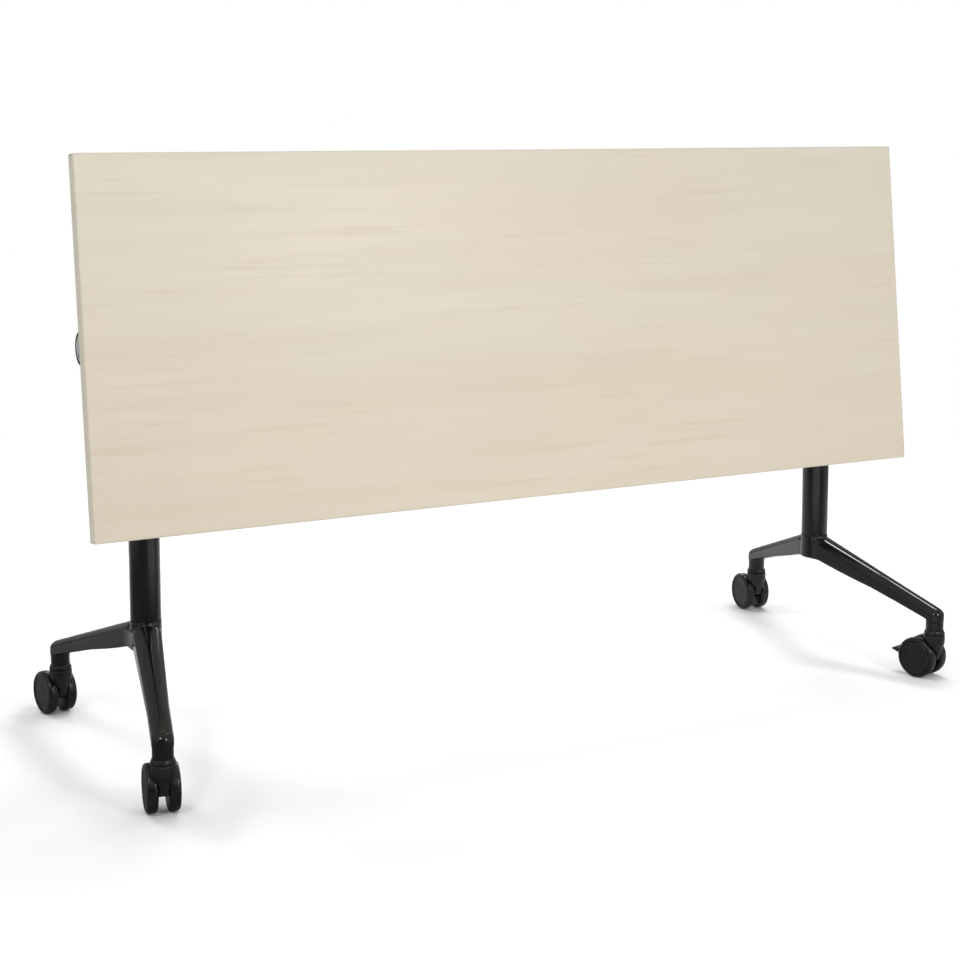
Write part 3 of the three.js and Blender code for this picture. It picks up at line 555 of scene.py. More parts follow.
# Each end disc is a plain steel disc with turned rings, polished and chromed. It is snapped into the
# recess of its cap.
DISC_RADIUS, DISC_BACK, VALLEY, CREST, DISC_CROWN = 0.024, 0.7781, 0.7790, 0.7796, 0.7797
turned_chrome, given, result = effect(
    "turned_chrome", [("Roughness", NUMBER, 0.1)], [("Roughness", NUMBER), ("Normal", VECTOR)],
)
swirl = noise(turned_chrome, scale=300, detail=4)
hazed = ramp_of(turned_chrome, swirl, 0.3, 0.7, 0.7, 1.5)
turned_chrome.links.new(product(turned_chrome, given["Roughness"], hazed), result["Roughness"])
hairline = add(turned_chrome, "ShaderNodeBump", Strength=0.05, Distance=0.0001, Height=swirl)
turned_chrome.links.new(hairline.outputs[0], result["Normal"])
chrome = finish_with(
    "polished_chrome", turned_chrome, {"Roughness": "Roughness", "Normal": "Normal"}, {"Roughness": 0.20},
    Metallic=1.0, Base_Color=(0.88, 0.89, 0.90, 1),
)
disc_profile = [(0, DISC_BACK), (DISC_RADIUS, DISC_BACK), (DISC_RADIUS, VALLEY), (0.0205, DISC_CROWN)]
disc_profile += [(0.0195, VALLEY), (0.0178, CREST), (0.0162, VALLEY), (0.0145, CREST), (0.0125, VALLEY)]
disc_profile += [(0.0080, 0.7794), (0, DISC_CROWN)]
right_disc = eased(turn("right_end_disc", disc_profile, "X", 96), 0.0002, 2)
settle(right_disc, (0, 0, PIVOT_HEIGHT))
for side, disc in (("right", right_disc), ("left", mirror_image(right_disc))):
    dressed(disc, chrome, "frame", "bright_chrome", f"end_disc_{side}")

# A latch sector stands beside each head: a zinc plated steel plate with a hole for the beam, a rim
# that the dog rides on, a notch for the flat position and a lug for the upright stop.
SECTOR_NEAR, SECTOR_FAR = 0.6457, 0.6517
SECTOR_HUB, SECTOR_RIM, SECTOR_NOTCH = 0.034, 0.058, 0.050


def arc(radius, start, stop, steps, y=0, z=0):
    """Points on an arc in the Y-Z plane, in degrees from +Y towards +Z."""
    turns = [math.radians(start + (stop - start) * i / steps) for i in range(steps + 1)]
    return [(y + radius * math.cos(a), z + radius * math.sin(a)) for a in turns]


def slab(name, outline, near, far):
    """An outline in the Y-Z plane given its thickness along X."""
    return prism(name, [(near, y, z) for y, z in outline], (far - near, 0, 0))


def drill(radius, y=0, z=0, near=0.5, far=0.9):
    """A cutter along X."""
    tool = turn("drill", bar(radius, near, far), "X", 48)
    tool.location = (0, y, z)
    return tool


rim = arc(SECTOR_HUB, -2, 140, 40) + arc(SECTOR_RIM, 140, 143, 2) + arc(SECTOR_NOTCH, 143, 151, 3)
rim += arc(SECTOR_RIM, 151, 240, 40) + arc(SECTOR_HUB, 240, 342.1, 30)
rim += arc(SECTOR_NOTCH, 342.1, 358, 6)
sector = slab("right_sector", rim, SECTOR_NEAR, SECTOR_FAR)
bored(sector, drill(BEAM_HOLE))
eased(sector, 0.0005, 2)
settle(sector, (0, 0, PIVOT_HEIGHT))
for side, plate in (("right", sector), ("left", mirror_image(sector))):
    dressed(plate, zinc_steel, "frame", "zinc_steel", f"latch_sector_{side}")

# Four flip brackets carry the board on the beam: die castings with a bearing ring, a web and a
# flange screwed up under the board. The inner pair also holds the release rod and the stop ear.
UPRIGHT = math.radians(83.5)
FLANGE_TOP, FLANGE_BOTTOM, WEB_TOP = 0.0647, 0.0587, 0.0600
ROD_V, ROD_W, ROD_TIGHT, ROD_LOOSE = -0.090, 0.040, 0.0063, 0.0064
BUSH_HOLE, HUB_CLEARANCE = 0.0300, 0.036
BRACKET_HALF, RING_RADIUS, FLANGE_LIP = 0.012, 0.040, 0.025
WEB_HALF, WEB_LOW, ROD_WEB_EDGE = 0.036, 0.012, -0.103
INNER_NEAR, INNER_FAR, EAR_FAR = 0.612, 0.636, 0.6514


def tipped(piece):
    """Turns a piece drawn lying flat about the beam up to the stored position."""
    return settle(piece, (0, 0, PIVOT_HEIGHT), (UPRIGHT, 0, 0))


def in_both_hands(piece, material, body, slot, node=None):
    """Dresses a right-hand piece and then its mirror image, which is copied from it as dressed."""
    dressed(piece, material, body, slot, *([f"{node}_right"] if node else []))
    dressed(mirror_image(piece), material, body, slot, *([f"{node}_left"] if node else []))


def bracket_forms(middle, front, rear, near, far):
    """The rough forms of one bracket: its ring, web and flange."""
    inside, outside = middle - BRACKET_HALF, middle + BRACKET_HALF
    ring = slab("ring", arc(RING_RADIUS, 0, 355, 71), inside, outside)
    web_line = [(-WEB_HALF, WEB_LOW), (WEB_HALF, WEB_LOW), (rear, WEB_TOP), (front, WEB_TOP)]
    web = slab("web", web_line, inside, outside)
    bottom = [(front - FLANGE_LIP, FLANGE_BOTTOM), (rear + FLANGE_LIP, FLANGE_BOTTOM)]
    top = [(rear + FLANGE_LIP, FLANGE_TOP), (front - FLANGE_LIP, FLANGE_TOP)]
    return [ring, web, slab("flange", bottom + top, near, far)]


inner_forms = bracket_forms(0.624, -0.095, 0.085, 0.570, 0.640)
inner_forms.append(slab("rod_boss", arc(0.013, 0, 350, 35, ROD_V, ROD_W), INNER_NEAR, INNER_FAR))
rod_web = [(ROD_WEB_EDGE, ROD_W), (-WEB_HALF, WEB_LOW), (-WEB_HALF, WEB_TOP), (ROD_WEB_EDGE, WEB_TOP)]
inner_forms.append(slab("rod_web", rod_web, INNER_NEAR, INNER_FAR))
ear = arc(0.054, 240.6, 250.3, 4) + arc(0.0365, 250.3, 240.6, 4)
inner_forms.append(slab("stop_ear", ear, INNER_NEAR, EAR_FAR))
inner = cast("right_inner_bracket", inner_forms, grain=0.0012, rounds=4)
bored(inner, drill(BUSH_HOLE), drill(ROD_LOOSE, ROD_V, ROD_W), drill(HUB_CLEARANCE, near=INNER_FAR))
in_both_hands(tipped(crisp(inner)), cast_black, "top", "black_casting", "inner_bracket")

outer_forms = bracket_forms(0.740, -0.080, 0.080, 0.718, 0.786)
outer = cast("right_outer_bracket", outer_forms, grain=0.0012, rounds=4)
bored(outer, drill(BUSH_HOLE))
in_both_hands(tipped(crisp(outer)), cast_black, "top", "black_casting", "outer_bracket")

# pan-head screws hold each flange, all of one pattern with the seat of the head at nought
screw_profile = [(0, -0.0030), (0.0022, -0.0029), (0.0038, -0.0022), (0.0046, -0.0008)]
screw_profile += [(0.0046, 0.0005), (0, 0.0005)]
screw = turn("screw", screw_profile, steps=24)
crisp(bored(screw, key_hole(0.0022, 0.003, -0.003)), 40)
screw_places = [(x, y) for x in (0.582, 0.600) for y in (-0.112, 0.100)]
screw_places += [(x, y) for x in (0.764, 0.778) for y in (-0.094, 0.094)]
driven = [settle(twin(screw, "screw_copy"), (x, y, FLANGE_BOTTOM)) for x, y in screw_places]
in_both_hands(tipped(joined("right_bracket_screws", driven)), zinc_steel, "top", "zinc_steel")

# A grey acetal bush lines each bearing ring so that the board tips without a squeak. It is pressed
# in from the inner side and its lip bears on the ring's face.
BUSH_BORE, BUSH_OUT, BUSH_LIP, LIP_DEPTH = 0.0254, 0.0297, 0.0337, 0.002
OUTER_NEAR, OUTER_FAR = 0.728, 0.752
acetal = finish_with(
    "moulded_grey_acetal", moulded_grain, COATED,
    {"Colour": (0.24, 0.25, 0.26, 1), "Roughness": 0.42, "Grain": 0.15},
)
for where, near, far in (("inner", INNER_NEAR, INNER_FAR), ("outer", OUTER_NEAR, OUTER_FAR)):
    lip, end = near - 0.0023, far + 0.001
    profile = [(BUSH_BORE, lip), (BUSH_LIP, lip), (BUSH_LIP, lip + LIP_DEPTH), (BUSH_OUT, lip + LIP_DEPTH)]
    profile += [(BUSH_OUT, end), (BUSH_BORE, end), (BUSH_BORE, lip)]
    bush = eased(turn(f"right_{where}_bush", profile, "X", 96), 0.0004, 2)
    settle(bush, (0, 0, PIVOT_HEIGHT))
    in_both_hands(bush, acetal, "top", "grey_acetal", f"{where}_bush")

# A small block of moulded rubber is glued to the face of each stop ear. It takes the knock against the
# lug of the sector when the board comes upright.
rubber = finish_with(
    "matt_black_rubber", moulded_grain, COATED,
    {"Colour": (0.014, 0.014, 0.014, 1), "Roughness": 0.75, "Grain": 0.5},
)
block = arc(0.050, 250.8, 258.1, 4) + arc(0.038, 258.1, 250.8, 4)
buffer = tipped(eased(slab("right_stop_buffer", block, SECTOR_NEAR, EAR_FAR), 0.0008))
in_both_hands(buffer, rubber, "top", "black_rubber", "stop_buffer")

# The board is 25 mm particle board faced on both sides with pale maple laminate. It is sawn to size,
# screwed to the flip brackets and closed all round by glued edge bands.
BOARD_HALF_X, BOARD_HALF_Y, BOARD_FACE, BOARD_BACK, BAND = 0.800, 0.300, 0.090, 0.065, 0.002
maple, given, result = effect(
    "maple_figure_and_shade",
    [("Vector", VECTOR, (0, 0, 0)), ("Light", COLOUR, (1, 1, 1, 1)), ("Dark", COLOUR, (1, 1, 1, 1)),
     ("Blush", COLOUR, (1, 1, 1, 1)), ("Roughness", NUMBER, 0.4)],
    LOOK,
)


def figure(along, over, detail, distortion):
    """Noise drawn out along the grain."""
    drawn = add(maple, "ShaderNodeMapping", Vector=given["Vector"], Scale=(along, over, over)).outputs[0]
    made = add(maple, "ShaderNodeTexNoise", Vector=drawn, Scale=1, Detail=detail, Distortion=distortion)
    return made.outputs[0]


bands = figure(1.3, 17, 4, 0.5)
streaks = figure(4.5, 120, 4, 0.8)
fibres = figure(26, 900, 3, 0)
patches = figure(3.0, 8, 3, 0.3)
zones = figure(2.2, 11, 2, 0.3)
# the colour turns warmer and darker towards the lower edge of the tipped board: painted shade where the
# light falls off, laid under the figure
across_leaf = add(maple, "ShaderNodeSeparateXYZ", Vector=given["Vector"]).outputs["Y"]
painted_low_shade = blended(maple, ramp_of(maple, across_leaf, 0.30, -0.30, 0, 0.85), given["Light"], given["Blush"])
soft = blended(maple, ramp_of(maple, bands, 0.36, 0.72, 0, 0.50), painted_low_shade, given["Dark"])
blushed = blended(maple, ramp_of(maple, patches, 0.44, 0.66, 0, 0.70), soft, given["Blush"])
gathered = ramp_of(maple, zones, 0.42, 0.62, 0.12, 1)
lines = product(maple, ramp_of(maple, streaks, 0.52, 0.80, 0, 0.9), gathered)
lined = blended(maple, lines, blushed, given["Dark"])
pored = blended(maple, ramp_of(maple, fibres, 0.58, 0.80, 0, 0.24), lined, given["Dark"])
maple.links.new(pored, result["Colour"])
sheen = ramp_of(maple, streaks, 0.3, 0.7, 0.9, 1.12)
maple.links.new(product(maple, given["Roughness"], sheen), result["Roughness"])
embossed = add(maple, "ShaderNodeBump", Strength=0.06, Distance=0.0002, Height=fibres)
maple.links.new(embossed.outputs[0], result["Normal"])


def along_board(material):
    """Lays the figure in the plane of the tipped board."""
    tree = material.node_tree
    lay = add(tree, "ShaderNodeMapping", Vector=add(tree, "ShaderNodeTexCoord").outputs["Object"])
    lay.vector_type = "TEXTURE"
    lay.inputs["Location"].default_value = (0, 0, PIVOT_HEIGHT)
    lay.inputs["Rotation"].default_value = (UPRIGHT, 0, 0)
    tree.links.new(lay.outputs["Vector"], tree.nodes["pattern"].inputs["Vector"])


laminate = finish_with(
    "pale_maple_laminate", maple, COATED,
    {
        "Light": (0.708, 0.660, 0.550, 1), "Dark": (0.640, 0.550, 0.425, 1),
        "Blush": (0.713, 0.624, 0.505, 1), "Roughness": 0.42,
    },
    Specular_IOR_Level=0.42,
)
along_board(laminate)


def lying_block(name, low, high):
    """A block between two corners, drawn flat about the beam."""
    bpy.ops.object.select_all(action="DESELECT")
    bpy.ops.mesh.primitive_cube_add(size=1)
    made = bpy.context.object
    made.name = name
    bpy.ops.object.mode_set(mode="EDIT")
    bpy.ops.transform.resize(value=[h - l for l, h in zip(low, high)])
    bpy.ops.transform.translate(value=[(h + l) / 2 for l, h in zip(low, high)])
    return close_up(made)


SEAM = 0.00005
core_x, core_y = BOARD_HALF_X - BAND - SEAM, BOARD_HALF_Y - BAND - SEAM
panel = lying_block("maple_panel", (-core_x, -core_y, BOARD_BACK), (core_x, core_y, BOARD_FACE))
tipped(eased(panel, 0.0002, 2))
dressed(panel, laminate, "top", "maple_laminate", "board")

# Four edge bands of matching plastic, 2 mm thick, are glued on hot and their outer corners are
# scraped round. The long bands cover the ends of the short ones.
edging = finish_with(
    "maple_edge_band", maple, COATED,
    {
        "Light": (0.64, 0.61, 0.505, 1), "Dark": (0.58, 0.53, 0.415, 1),
        "Blush": (0.63, 0.58, 0.470, 1), "Roughness": 0.34,
    },
)
along_board(edging)
BAND_ROUND = 0.0016
band_corners = {
    "rear": ((-BOARD_HALF_X, BOARD_HALF_Y - BAND, BOARD_BACK), (BOARD_HALF_X, BOARD_HALF_Y, BOARD_FACE)),
    "front": (
        (-BOARD_HALF_X, -BOARD_HALF_Y, BOARD_BACK), (BOARD_HALF_X, BAND - BOARD_HALF_Y, BOARD_FACE),
    ),
    "right": ((BOARD_HALF_X - BAND, -core_y, BOARD_BACK), (BOARD_HALF_X, core_y, BOARD_FACE)),
    "left": ((-BOARD_HALF_X, -core_y, BOARD_BACK), (BAND - BOARD_HALF_X, core_y, BOARD_FACE)),
}
for where, (low, high) in band_corners.items():
    band = lying_block(f"{where}_edge_band", low, high)
    bpy.ops.object.mode_set(mode="EDIT")
    bpy.ops.mesh.select_all(action="DESELECT")
    bpy.ops.object.mode_set(mode="OBJECT")
    axis = 1 if where in ("rear", "front") else 0
    outside = (high if where in ("rear", "right") else low)[axis]
    for edge in band.data.edges:
        ends = [band.data.vertices[v].co for v in edge.vertices]
        level = abs(ends[0].z - ends[1].z) < 1e-5
        edge.select = level and all(abs(p[axis] - outside) < 1e-5 for p in ends)
    bpy.ops.object.mode_set(mode="EDIT")
    bpy.ops.mesh.select_mode(type="EDGE")
    bpy.ops.mesh.bevel(offset=BAND_ROUND, segments=5, affect="EDGES")
    bpy.ops.mesh.select_mode(type="VERT")
    tipped(crisp(close_up(band), 40))
    dressed(band, edging, "top", "maple_edging", f"edge_band_{where}")

# The release rod is drawn steel, zinc plated, with chamfered ends. It runs under the board and turns in
# the inner brackets and in a guide near the middle.
ROD_HALF, ROD_RADIUS, ROD_CHAMFER = 0.656, 0.006, 0.0008
rod_end = [(ROD_RADIUS, ROD_HALF - ROD_CHAMFER), (ROD_RADIUS - ROD_CHAMFER, ROD_HALF), (0, ROD_HALF)]
rod_profile = [(r, -x) for r, x in reversed(rod_end)] + rod_end
rod = crisp(turn("latch_rod", rod_profile, "X", 32), 40)
settle(rod, (0, ROD_V, ROD_W))
tipped(rod)
dressed(rod, zinc_steel, "release", "zinc_steel", "release_rod")

# A dog of zinc plated steel plate is pressed on the rod at each sector. Its nose rides on the rim and
# drops into the notch when the board lies flat.
DOG_HUB, DOG_NOSE, DOG_BROW, DOG_GAP = 0.011, 0.0588, 0.0668, 0.0003
brow, nose = arc(DOG_BROW, 142, 143, 1)[0], arc(DOG_NOSE, 144, 150, 3)
dog_line = [(ROD_V, ROD_W + DOG_HUB), brow, *nose, (ROD_V + 0.006, ROD_W - 0.010)]
dog_line += arc(DOG_HUB, 270, 90, 16, ROD_V, ROD_W)[1:-1]
dog = slab("right_dog", dog_line, SECTOR_NEAR + DOG_GAP, SECTOR_FAR - DOG_GAP)
bored(dog, drill(ROD_TIGHT, ROD_V, ROD_W))
tipped(eased(dog, 0.0004, 2))
in_both_hands(dog, zinc_steel, "release", "zinc_steel", "latch_dog")

# The pull handle is moulded in nylon: a hub on the middle of the rod, a flat blade and a rolled grip.
# One screw through the hub holds it to the rod.
GRIP_V, GRIP_W, PULL_HALF, BLADE_HALF = -0.262, 0.032, 0.045, 0.0035
PULL_HUB, GRIP_RADIUS = 0.011, 0.006
blade = [(ROD_V, ROD_W + BLADE_HALF), (GRIP_V, GRIP_W + BLADE_HALF)]
blade += [(GRIP_V, GRIP_W - BLADE_HALF), (ROD_V, ROD_W - BLADE_HALF)]
pull_forms = [slab("blade", blade, -PULL_HALF, PULL_HALF)]
pull_forms.append(slab("pull_hub", arc(PULL_HUB, 0, 350, 35, ROD_V, ROD_W), -PULL_HALF, PULL_HALF))
grip = arc(GRIP_RADIUS, 0, 345, 23, GRIP_V, GRIP_W)
pull_forms.append(slab("grip_roll", grip, -PULL_HALF, PULL_HALF))
pull = cast("pull_handle", pull_forms, grain=0.0010, rounds=4)
bored(pull, drill(ROD_TIGHT, ROD_V, ROD_W, -0.06, 0.06))
tipped(crisp(pull))
dressed(pull, nylon_black, "release", "black_nylon", "release_handle")
pull_screw = settle(twin(screw, "pull_screw"), (0, ROD_V, ROD_W - 0.0105))
dressed(tipped(pull_screw), zinc_steel, "release", "zinc_steel")

# The rod guide is a nylon saddle beside the handle that keeps the long rod from bowing. Two screws
# hold its foot to the underside of the board.
GUIDE_SEAT, GUIDE_NEAR, GUIDE_FAR = 0.0607, 0.072, 0.092
GUIDE_RING, GUIDE_SPREAD, GUIDE_FOOT = 0.012, 0.020, 0.032
guide_web = [(ROD_V - GUIDE_RING, ROD_W), (ROD_V + GUIDE_RING, ROD_W)]
guide_web += [(ROD_V + GUIDE_SPREAD, FLANGE_TOP), (ROD_V - GUIDE_SPREAD, FLANGE_TOP)]
guide_foot = [(ROD_V - GUIDE_FOOT, GUIDE_SEAT), (ROD_V + GUIDE_FOOT, GUIDE_SEAT)]
guide_foot += [(ROD_V + GUIDE_FOOT, FLANGE_TOP), (ROD_V - GUIDE_FOOT, FLANGE_TOP)]
guide_forms = [slab("guide_web", guide_web, GUIDE_NEAR, GUIDE_FAR)]
guide_forms.append(slab("guide_foot", guide_foot, 0.060, 0.104))
guide_ring = arc(GUIDE_RING, 0, 350, 35, ROD_V, ROD_W)
guide_forms.append(slab("guide_ring", guide_ring, GUIDE_NEAR, GUIDE_FAR))
guide = cast("rod_saddle", guide_forms, grain=0.0010, rounds=3)
bored(guide, drill(ROD_LOOSE, ROD_V, ROD_W, 0.05, 0.12))
tipped(crisp(guide))
dressed(guide, nylon_black, "top", "black_nylon", "rod_guide")
driven = [settle(twin(screw, "screw_copy"), (0.082, ROD_V + y, GUIDE_SEAT)) for y in (-0.026, 0.026)]
dressed(tipped(joined("guide_screws", driven)), zinc_steel, "top", "zinc_steel")
bpy.data.objects.remove(screw)

# The return spring is wound from zinc plated wire and sits round the rod between the handle and the
# guide. It turns the rod back when the handle is let go.
SPRING_START, SPRING_PITCH, SPRING_TURNS = 0.0485, 0.0034, 6
SPRING_COIL, SPRING_LEG, WIRE_RADIUS, COIL_STEPS = 0.0096, 0.024, 0.0012, 24
spring_low = ROD_W - SPRING_COIL
spring_line = [(SPRING_START, ROD_V - SPRING_LEG, spring_low)]
for i in range(SPRING_TURNS * COIL_STEPS + 1):
    a = math.tau * i / COIL_STEPS
    x = SPRING_START + SPRING_PITCH * i / COIL_STEPS
    spring_line.append((x, ROD_V + SPRING_COIL * math.sin(a), ROD_W - SPRING_COIL * math.cos(a)))
spring_line.append((SPRING_START + SPRING_PITCH * SPRING_TURNS, ROD_V + SPRING_LEG, spring_low))
pen("return_spring", spring_line)
bpy.ops.object.mode_set(mode="OBJECT")
bpy.ops.object.convert(target="CURVE")
spring = bpy.context.object
spring.data.bevel_depth = WIRE_RADIUS
spring.data.bevel_resolution = 3
spring.data.use_fill_caps = True
bpy.ops.object.convert(target="MESH")
spring = crisp(bpy.context.object, 60)
tipped(spring)
dressed(spring, zinc_steel, "top", "zinc_steel", "release_spring")

# A nylon ring is pressed over the end of each caster socket. It closes the gap round the stem, and the
# hood of the caster turns just below it.
SWIVEL = {"left_front": -11, "left_rear": 9, "right_rear": -7, "right_front": 16}
RING_BORE, RING_BOTTOM = 0.0164, 0.0832


def at_caster(piece, place):
    """Sets a piece drawn about the swivel axis down at its corner of the table."""
    side = -1 if place.startswith("left") else 1
    end = -1 if place.endswith("front") else 1
    corner = (side * (LEG_X + SOCKET_OUT), end * SOCKET_REACH, 0)
    return settle(piece, corner, (0, 0, math.radians(SWIVEL[place])))


ring_profile = [(RING_BORE, RING_BOTTOM), (0.0182, RING_BOTTOM), (0.0190, 0.0842), (0.0190, 0.0862)]
ring_profile += [(0.0172, 0.0908), (RING_BORE, 0.0912), (RING_BORE, RING_BOTTOM)]
ring = eased(turn("swivel_ring", ring_profile, steps=72), 0.0002, 2)
for place in SWIVEL:
    pressed = at_caster(twin(ring, f"{place}_swivel_ring"), place)
    dressed(pressed, nylon_black, "frame", "black_nylon")
bpy.data.objects.remove(ring)

# Each caster turns on a steel stem pressed up into the foot's socket. Its nylon body has a round top
# that tapers to a narrow neck between the wheels. The stems and axles are hidden, so their solids stay.
BRAKED = ("left_rear", "right_front")
TRAIL, WHEEL_RADIUS, WELL_RADIUS, WELL_END = 0.025, 0.0375, 0.0388, 0.030
HOOD_RADIUS, HOOD_TOP, NECK_HALF, NECK_LOW, NECK_HIGH = 0.0195, 0.0827, 0.0074, 0.036, 0.073
STEM_BORE, AXLE_BORE, AXLE_BOSS = 0.006, 0.0044, 0.015
LEVER_Y, LEVER_Z, CLAW_RADIUS, CLAW_BORE = 0.046, 0.047, 0.009, 0.0054
SHELL_GRAIN, PAST_FACES = 0.0006, 0.03
redressed(zinc_steel, *[f"caster_{kind}_{place}" for kind in ("stem", "axle") for place in SWIVEL])


def caster_shell(braked):
    """One caster body, with a claw at the back of its neck where it has a brake."""
    hood = [(0, NECK_LOW), (0.010, NECK_LOW), (0.0172, 0.062), (0.0188, 0.066), (HOOD_RADIUS, 0.070)]
    hood += [(HOOD_RADIUS, 0.0812), (0.0186, HOOD_TOP), (0, HOOD_TOP)]
    forms = [turn("hood", hood, steps=96)]
    neck = [(-0.009, NECK_LOW), (TRAIL, 0.0225), (0.040, WHEEL_RADIUS)]
    neck += [(0.035, 0.060), (0.014, NECK_HIGH), (-0.009, NECK_HIGH)]
    forms.append(slab("neck", neck, -NECK_HALF, NECK_HALF))
    boss = arc(AXLE_BOSS, 0, 350, 35, TRAIL, WHEEL_RADIUS)
    forms.append(slab("axle_boss", boss, -NECK_HALF, NECK_HALF))
    if braked:
        claw = arc(CLAW_RADIUS, 0, 345, 23, 0.043, LEVER_Z)
        forms.append(slab("claw", claw, -NECK_HALF, NECK_HALF))
    shell = cast("caster_shell", forms, grain=SHELL_GRAIN, rounds=0)
    for side in (-1, 1):
        well = turn("well", bar(WELL_RADIUS, NECK_HALF, WELL_END), "X", 96)
        well.scale.x = side
        well.location = (0, TRAIL, WHEEL_RADIUS)
        take(well)
        bpy.ops.object.transform_apply(location=True, rotation=True, scale=True)
        bpy.ops.object.mode_set(mode="EDIT")
        bored(shell, close_up(well))
    bored(shell, turn("stem_bore", bar(STEM_BORE, 0.0455, 0.090), steps=48))
    bored(shell, drill(AXLE_BORE, TRAIL, WHEEL_RADIUS, -PAST_FACES, PAST_FACES))
    if braked:
        bored(shell, drill(CLAW_BORE, LEVER_Y, LEVER_Z, -PAST_FACES, PAST_FACES))
        mouth = [(LEVER_Y, LEVER_Z), (0.058, 0.033), (0.058, 0.061)]
        bored(shell, slab("mouth", mouth, -PAST_FACES, PAST_FACES))
    applied(shell, "REMESH", mode="VOXEL", voxel_size=SHELL_GRAIN)
    applied(shell, "SMOOTH", factor=0.5, iterations=3)
    bpy.ops.object.shade_smooth()
    return shell


plain_shell, braked_shell = caster_shell(False), caster_shell(True)
for place in SWIVEL:
    body = twin(braked_shell if place in BRAKED else plain_shell, f"{place}_caster")
    at_caster(body, place)
    dressed(body, nylon_black, f"caster_{place}", "black_nylon", f"caster_body_{place}")
bpy.data.objects.remove(plain_shell)
bpy.data.objects.remove(braked_shell)

# The wheels are moulded in two shots: a hard nylon centre, its plain face set inside a raised bead, and
# a glossier rounded tread. Each pair runs on a steel axle through the neck.
INNER_FACE, WHEEL_WIDTH, INSET_RADIUS, SHOULDER = 0.008, 0.018, 0.0295, 0.0052
AXLE_DEPTH, BEAD_WIDTH = 0.012, 0.0018
tread_black = finish_with(
    "moulded_black_tread", moulded_grain, COATED,
    {"Colour": (0.005, 0.005, 0.0052, 1), "Roughness": 0.22, "Grain": 0.05}, IOR=1.46,
)
face_black = finish_with(
    "moulded_black_wheel_face", moulded_grain, COATED,
    {"Colour": (0.0065, 0.0065, 0.0068, 1), "Roughness": 0.40, "Grain": 0.3}, IOR=1.38,
)
quarter = [math.radians(a) for a in range(0, 91, 10)]
round_in = [(WHEEL_RADIUS - SHOULDER * (1 - math.sin(a)), SHOULDER * (1 - math.cos(a))) for a in quarter]
round_out = [(r, WHEEL_WIDTH - x) for r, x in reversed(round_in)]
rolled = [(0, AXLE_DEPTH), (AXLE_BORE, AXLE_DEPTH), (AXLE_BORE, 0), *round_in, *round_out]
groove = [(0.0022, 0), (0.0018, 0.0012), (0.0010, 0.0015), (0.0007, 0.0012)]
bead = [(0.0002, 0.0005), (-0.0005, 0.0002), (-0.0012, 0.0004), (-0.0018, 0.0008), (-0.0026, 0.0010)]
rolled += [(INSET_RADIUS + out, WHEEL_WIDTH - deep) for out, deep in groove + bead]
rolled += [(0.020, WHEEL_WIDTH - 0.0010), (0, WHEEL_WIDTH - 0.0008)]
wheel = crisp(turn("wheel", [(r, INNER_FACE + x) for r, x in rolled], "X", 120), 35)
wheel.data.materials.append(tread_black)
wheel.data.materials.append(face_black)
for face in wheel.data.polygons:
    inside = math.hypot(face.center.y, face.center.z) < INSET_RADIUS - BEAD_WIDTH
    face.material_index = 1 if inside and face.center.x > INNER_FACE + AXLE_DEPTH else 0
settle(wheel, (0, TRAIL, WHEEL_RADIUS))
mirrored_wheel = twin(wheel, "wheel_mirrored", mirrored=True)
for place in SWIVEL:
    for letter, pattern_wheel in (("a", mirrored_wheel), ("b", wheel)):
        roller = at_caster(twin(pattern_wheel, f"{place}_wheel_{letter}"), place)
        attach(roller, f"roller_{letter}_{place}")
        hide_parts(f"wheel_{letter}_{place}")
bpy.data.objects.remove(wheel)
bpy.data.objects.remove(mirrored_wheel)

# Two of the casters have a brake lever: a nylon pedal on a stalk that snaps into a claw at the back
# of the neck and presses a pad on the wheels when it is trodden down.
LEVER_HALF, STALK_HALF, KNUCKLE_RADIUS = 0.010, 0.0072, 0.005
stalk = [(LEVER_Y, 0.050), (0.067, 0.044), (0.067, 0.038), (LEVER_Y, 0.044)]
pedal = [(0.065, 0.033), (0.084, 0.0395), (0.086, 0.041), (0.080, 0.0445), (0.065, 0.045)]
knuckle = arc(KNUCKLE_RADIUS, 0, 345, 23, LEVER_Y, LEVER_Z)
lever_forms = [slab("knuckle", knuckle, -STALK_HALF, STALK_HALF)]
lever_forms.append(slab("stalk", stalk, -STALK_HALF, STALK_HALF))
lever_forms.append(slab("pedal", pedal, -LEVER_HALF, LEVER_HALF))
lever = cast("lever", lever_forms, grain=0.0005, rounds=3)
for place in BRAKED:
    dressed(
        at_caster(twin(lever, f"{place}_lever"), place), nylon_black,
        f"pedal_{place}", "black_nylon", f"brake_lever_{place}",
    )
bpy.data.objects.remove(lever)

# A plain white studio: a pale floor that fades out into the backdrop, two soft boxes in front, a strip
# overhead, a strip and a fill behind, and a camera at the height and angle of the photograph.
FLOOR_REACH, ROOM_FRONT = 4.0, (-0.4727, -0.8812, 0)


def measured(tree, how, vector, other=(0, 0, 0)):
    """A vector's length, its distance from another or its run along another."""
    made = tree.nodes.new("ShaderNodeVectorMath")
    made.operation = how
    tree.links.new(vector, made.inputs[0])
    made.inputs[1].default_value = other
    return made.outputs["Value"]


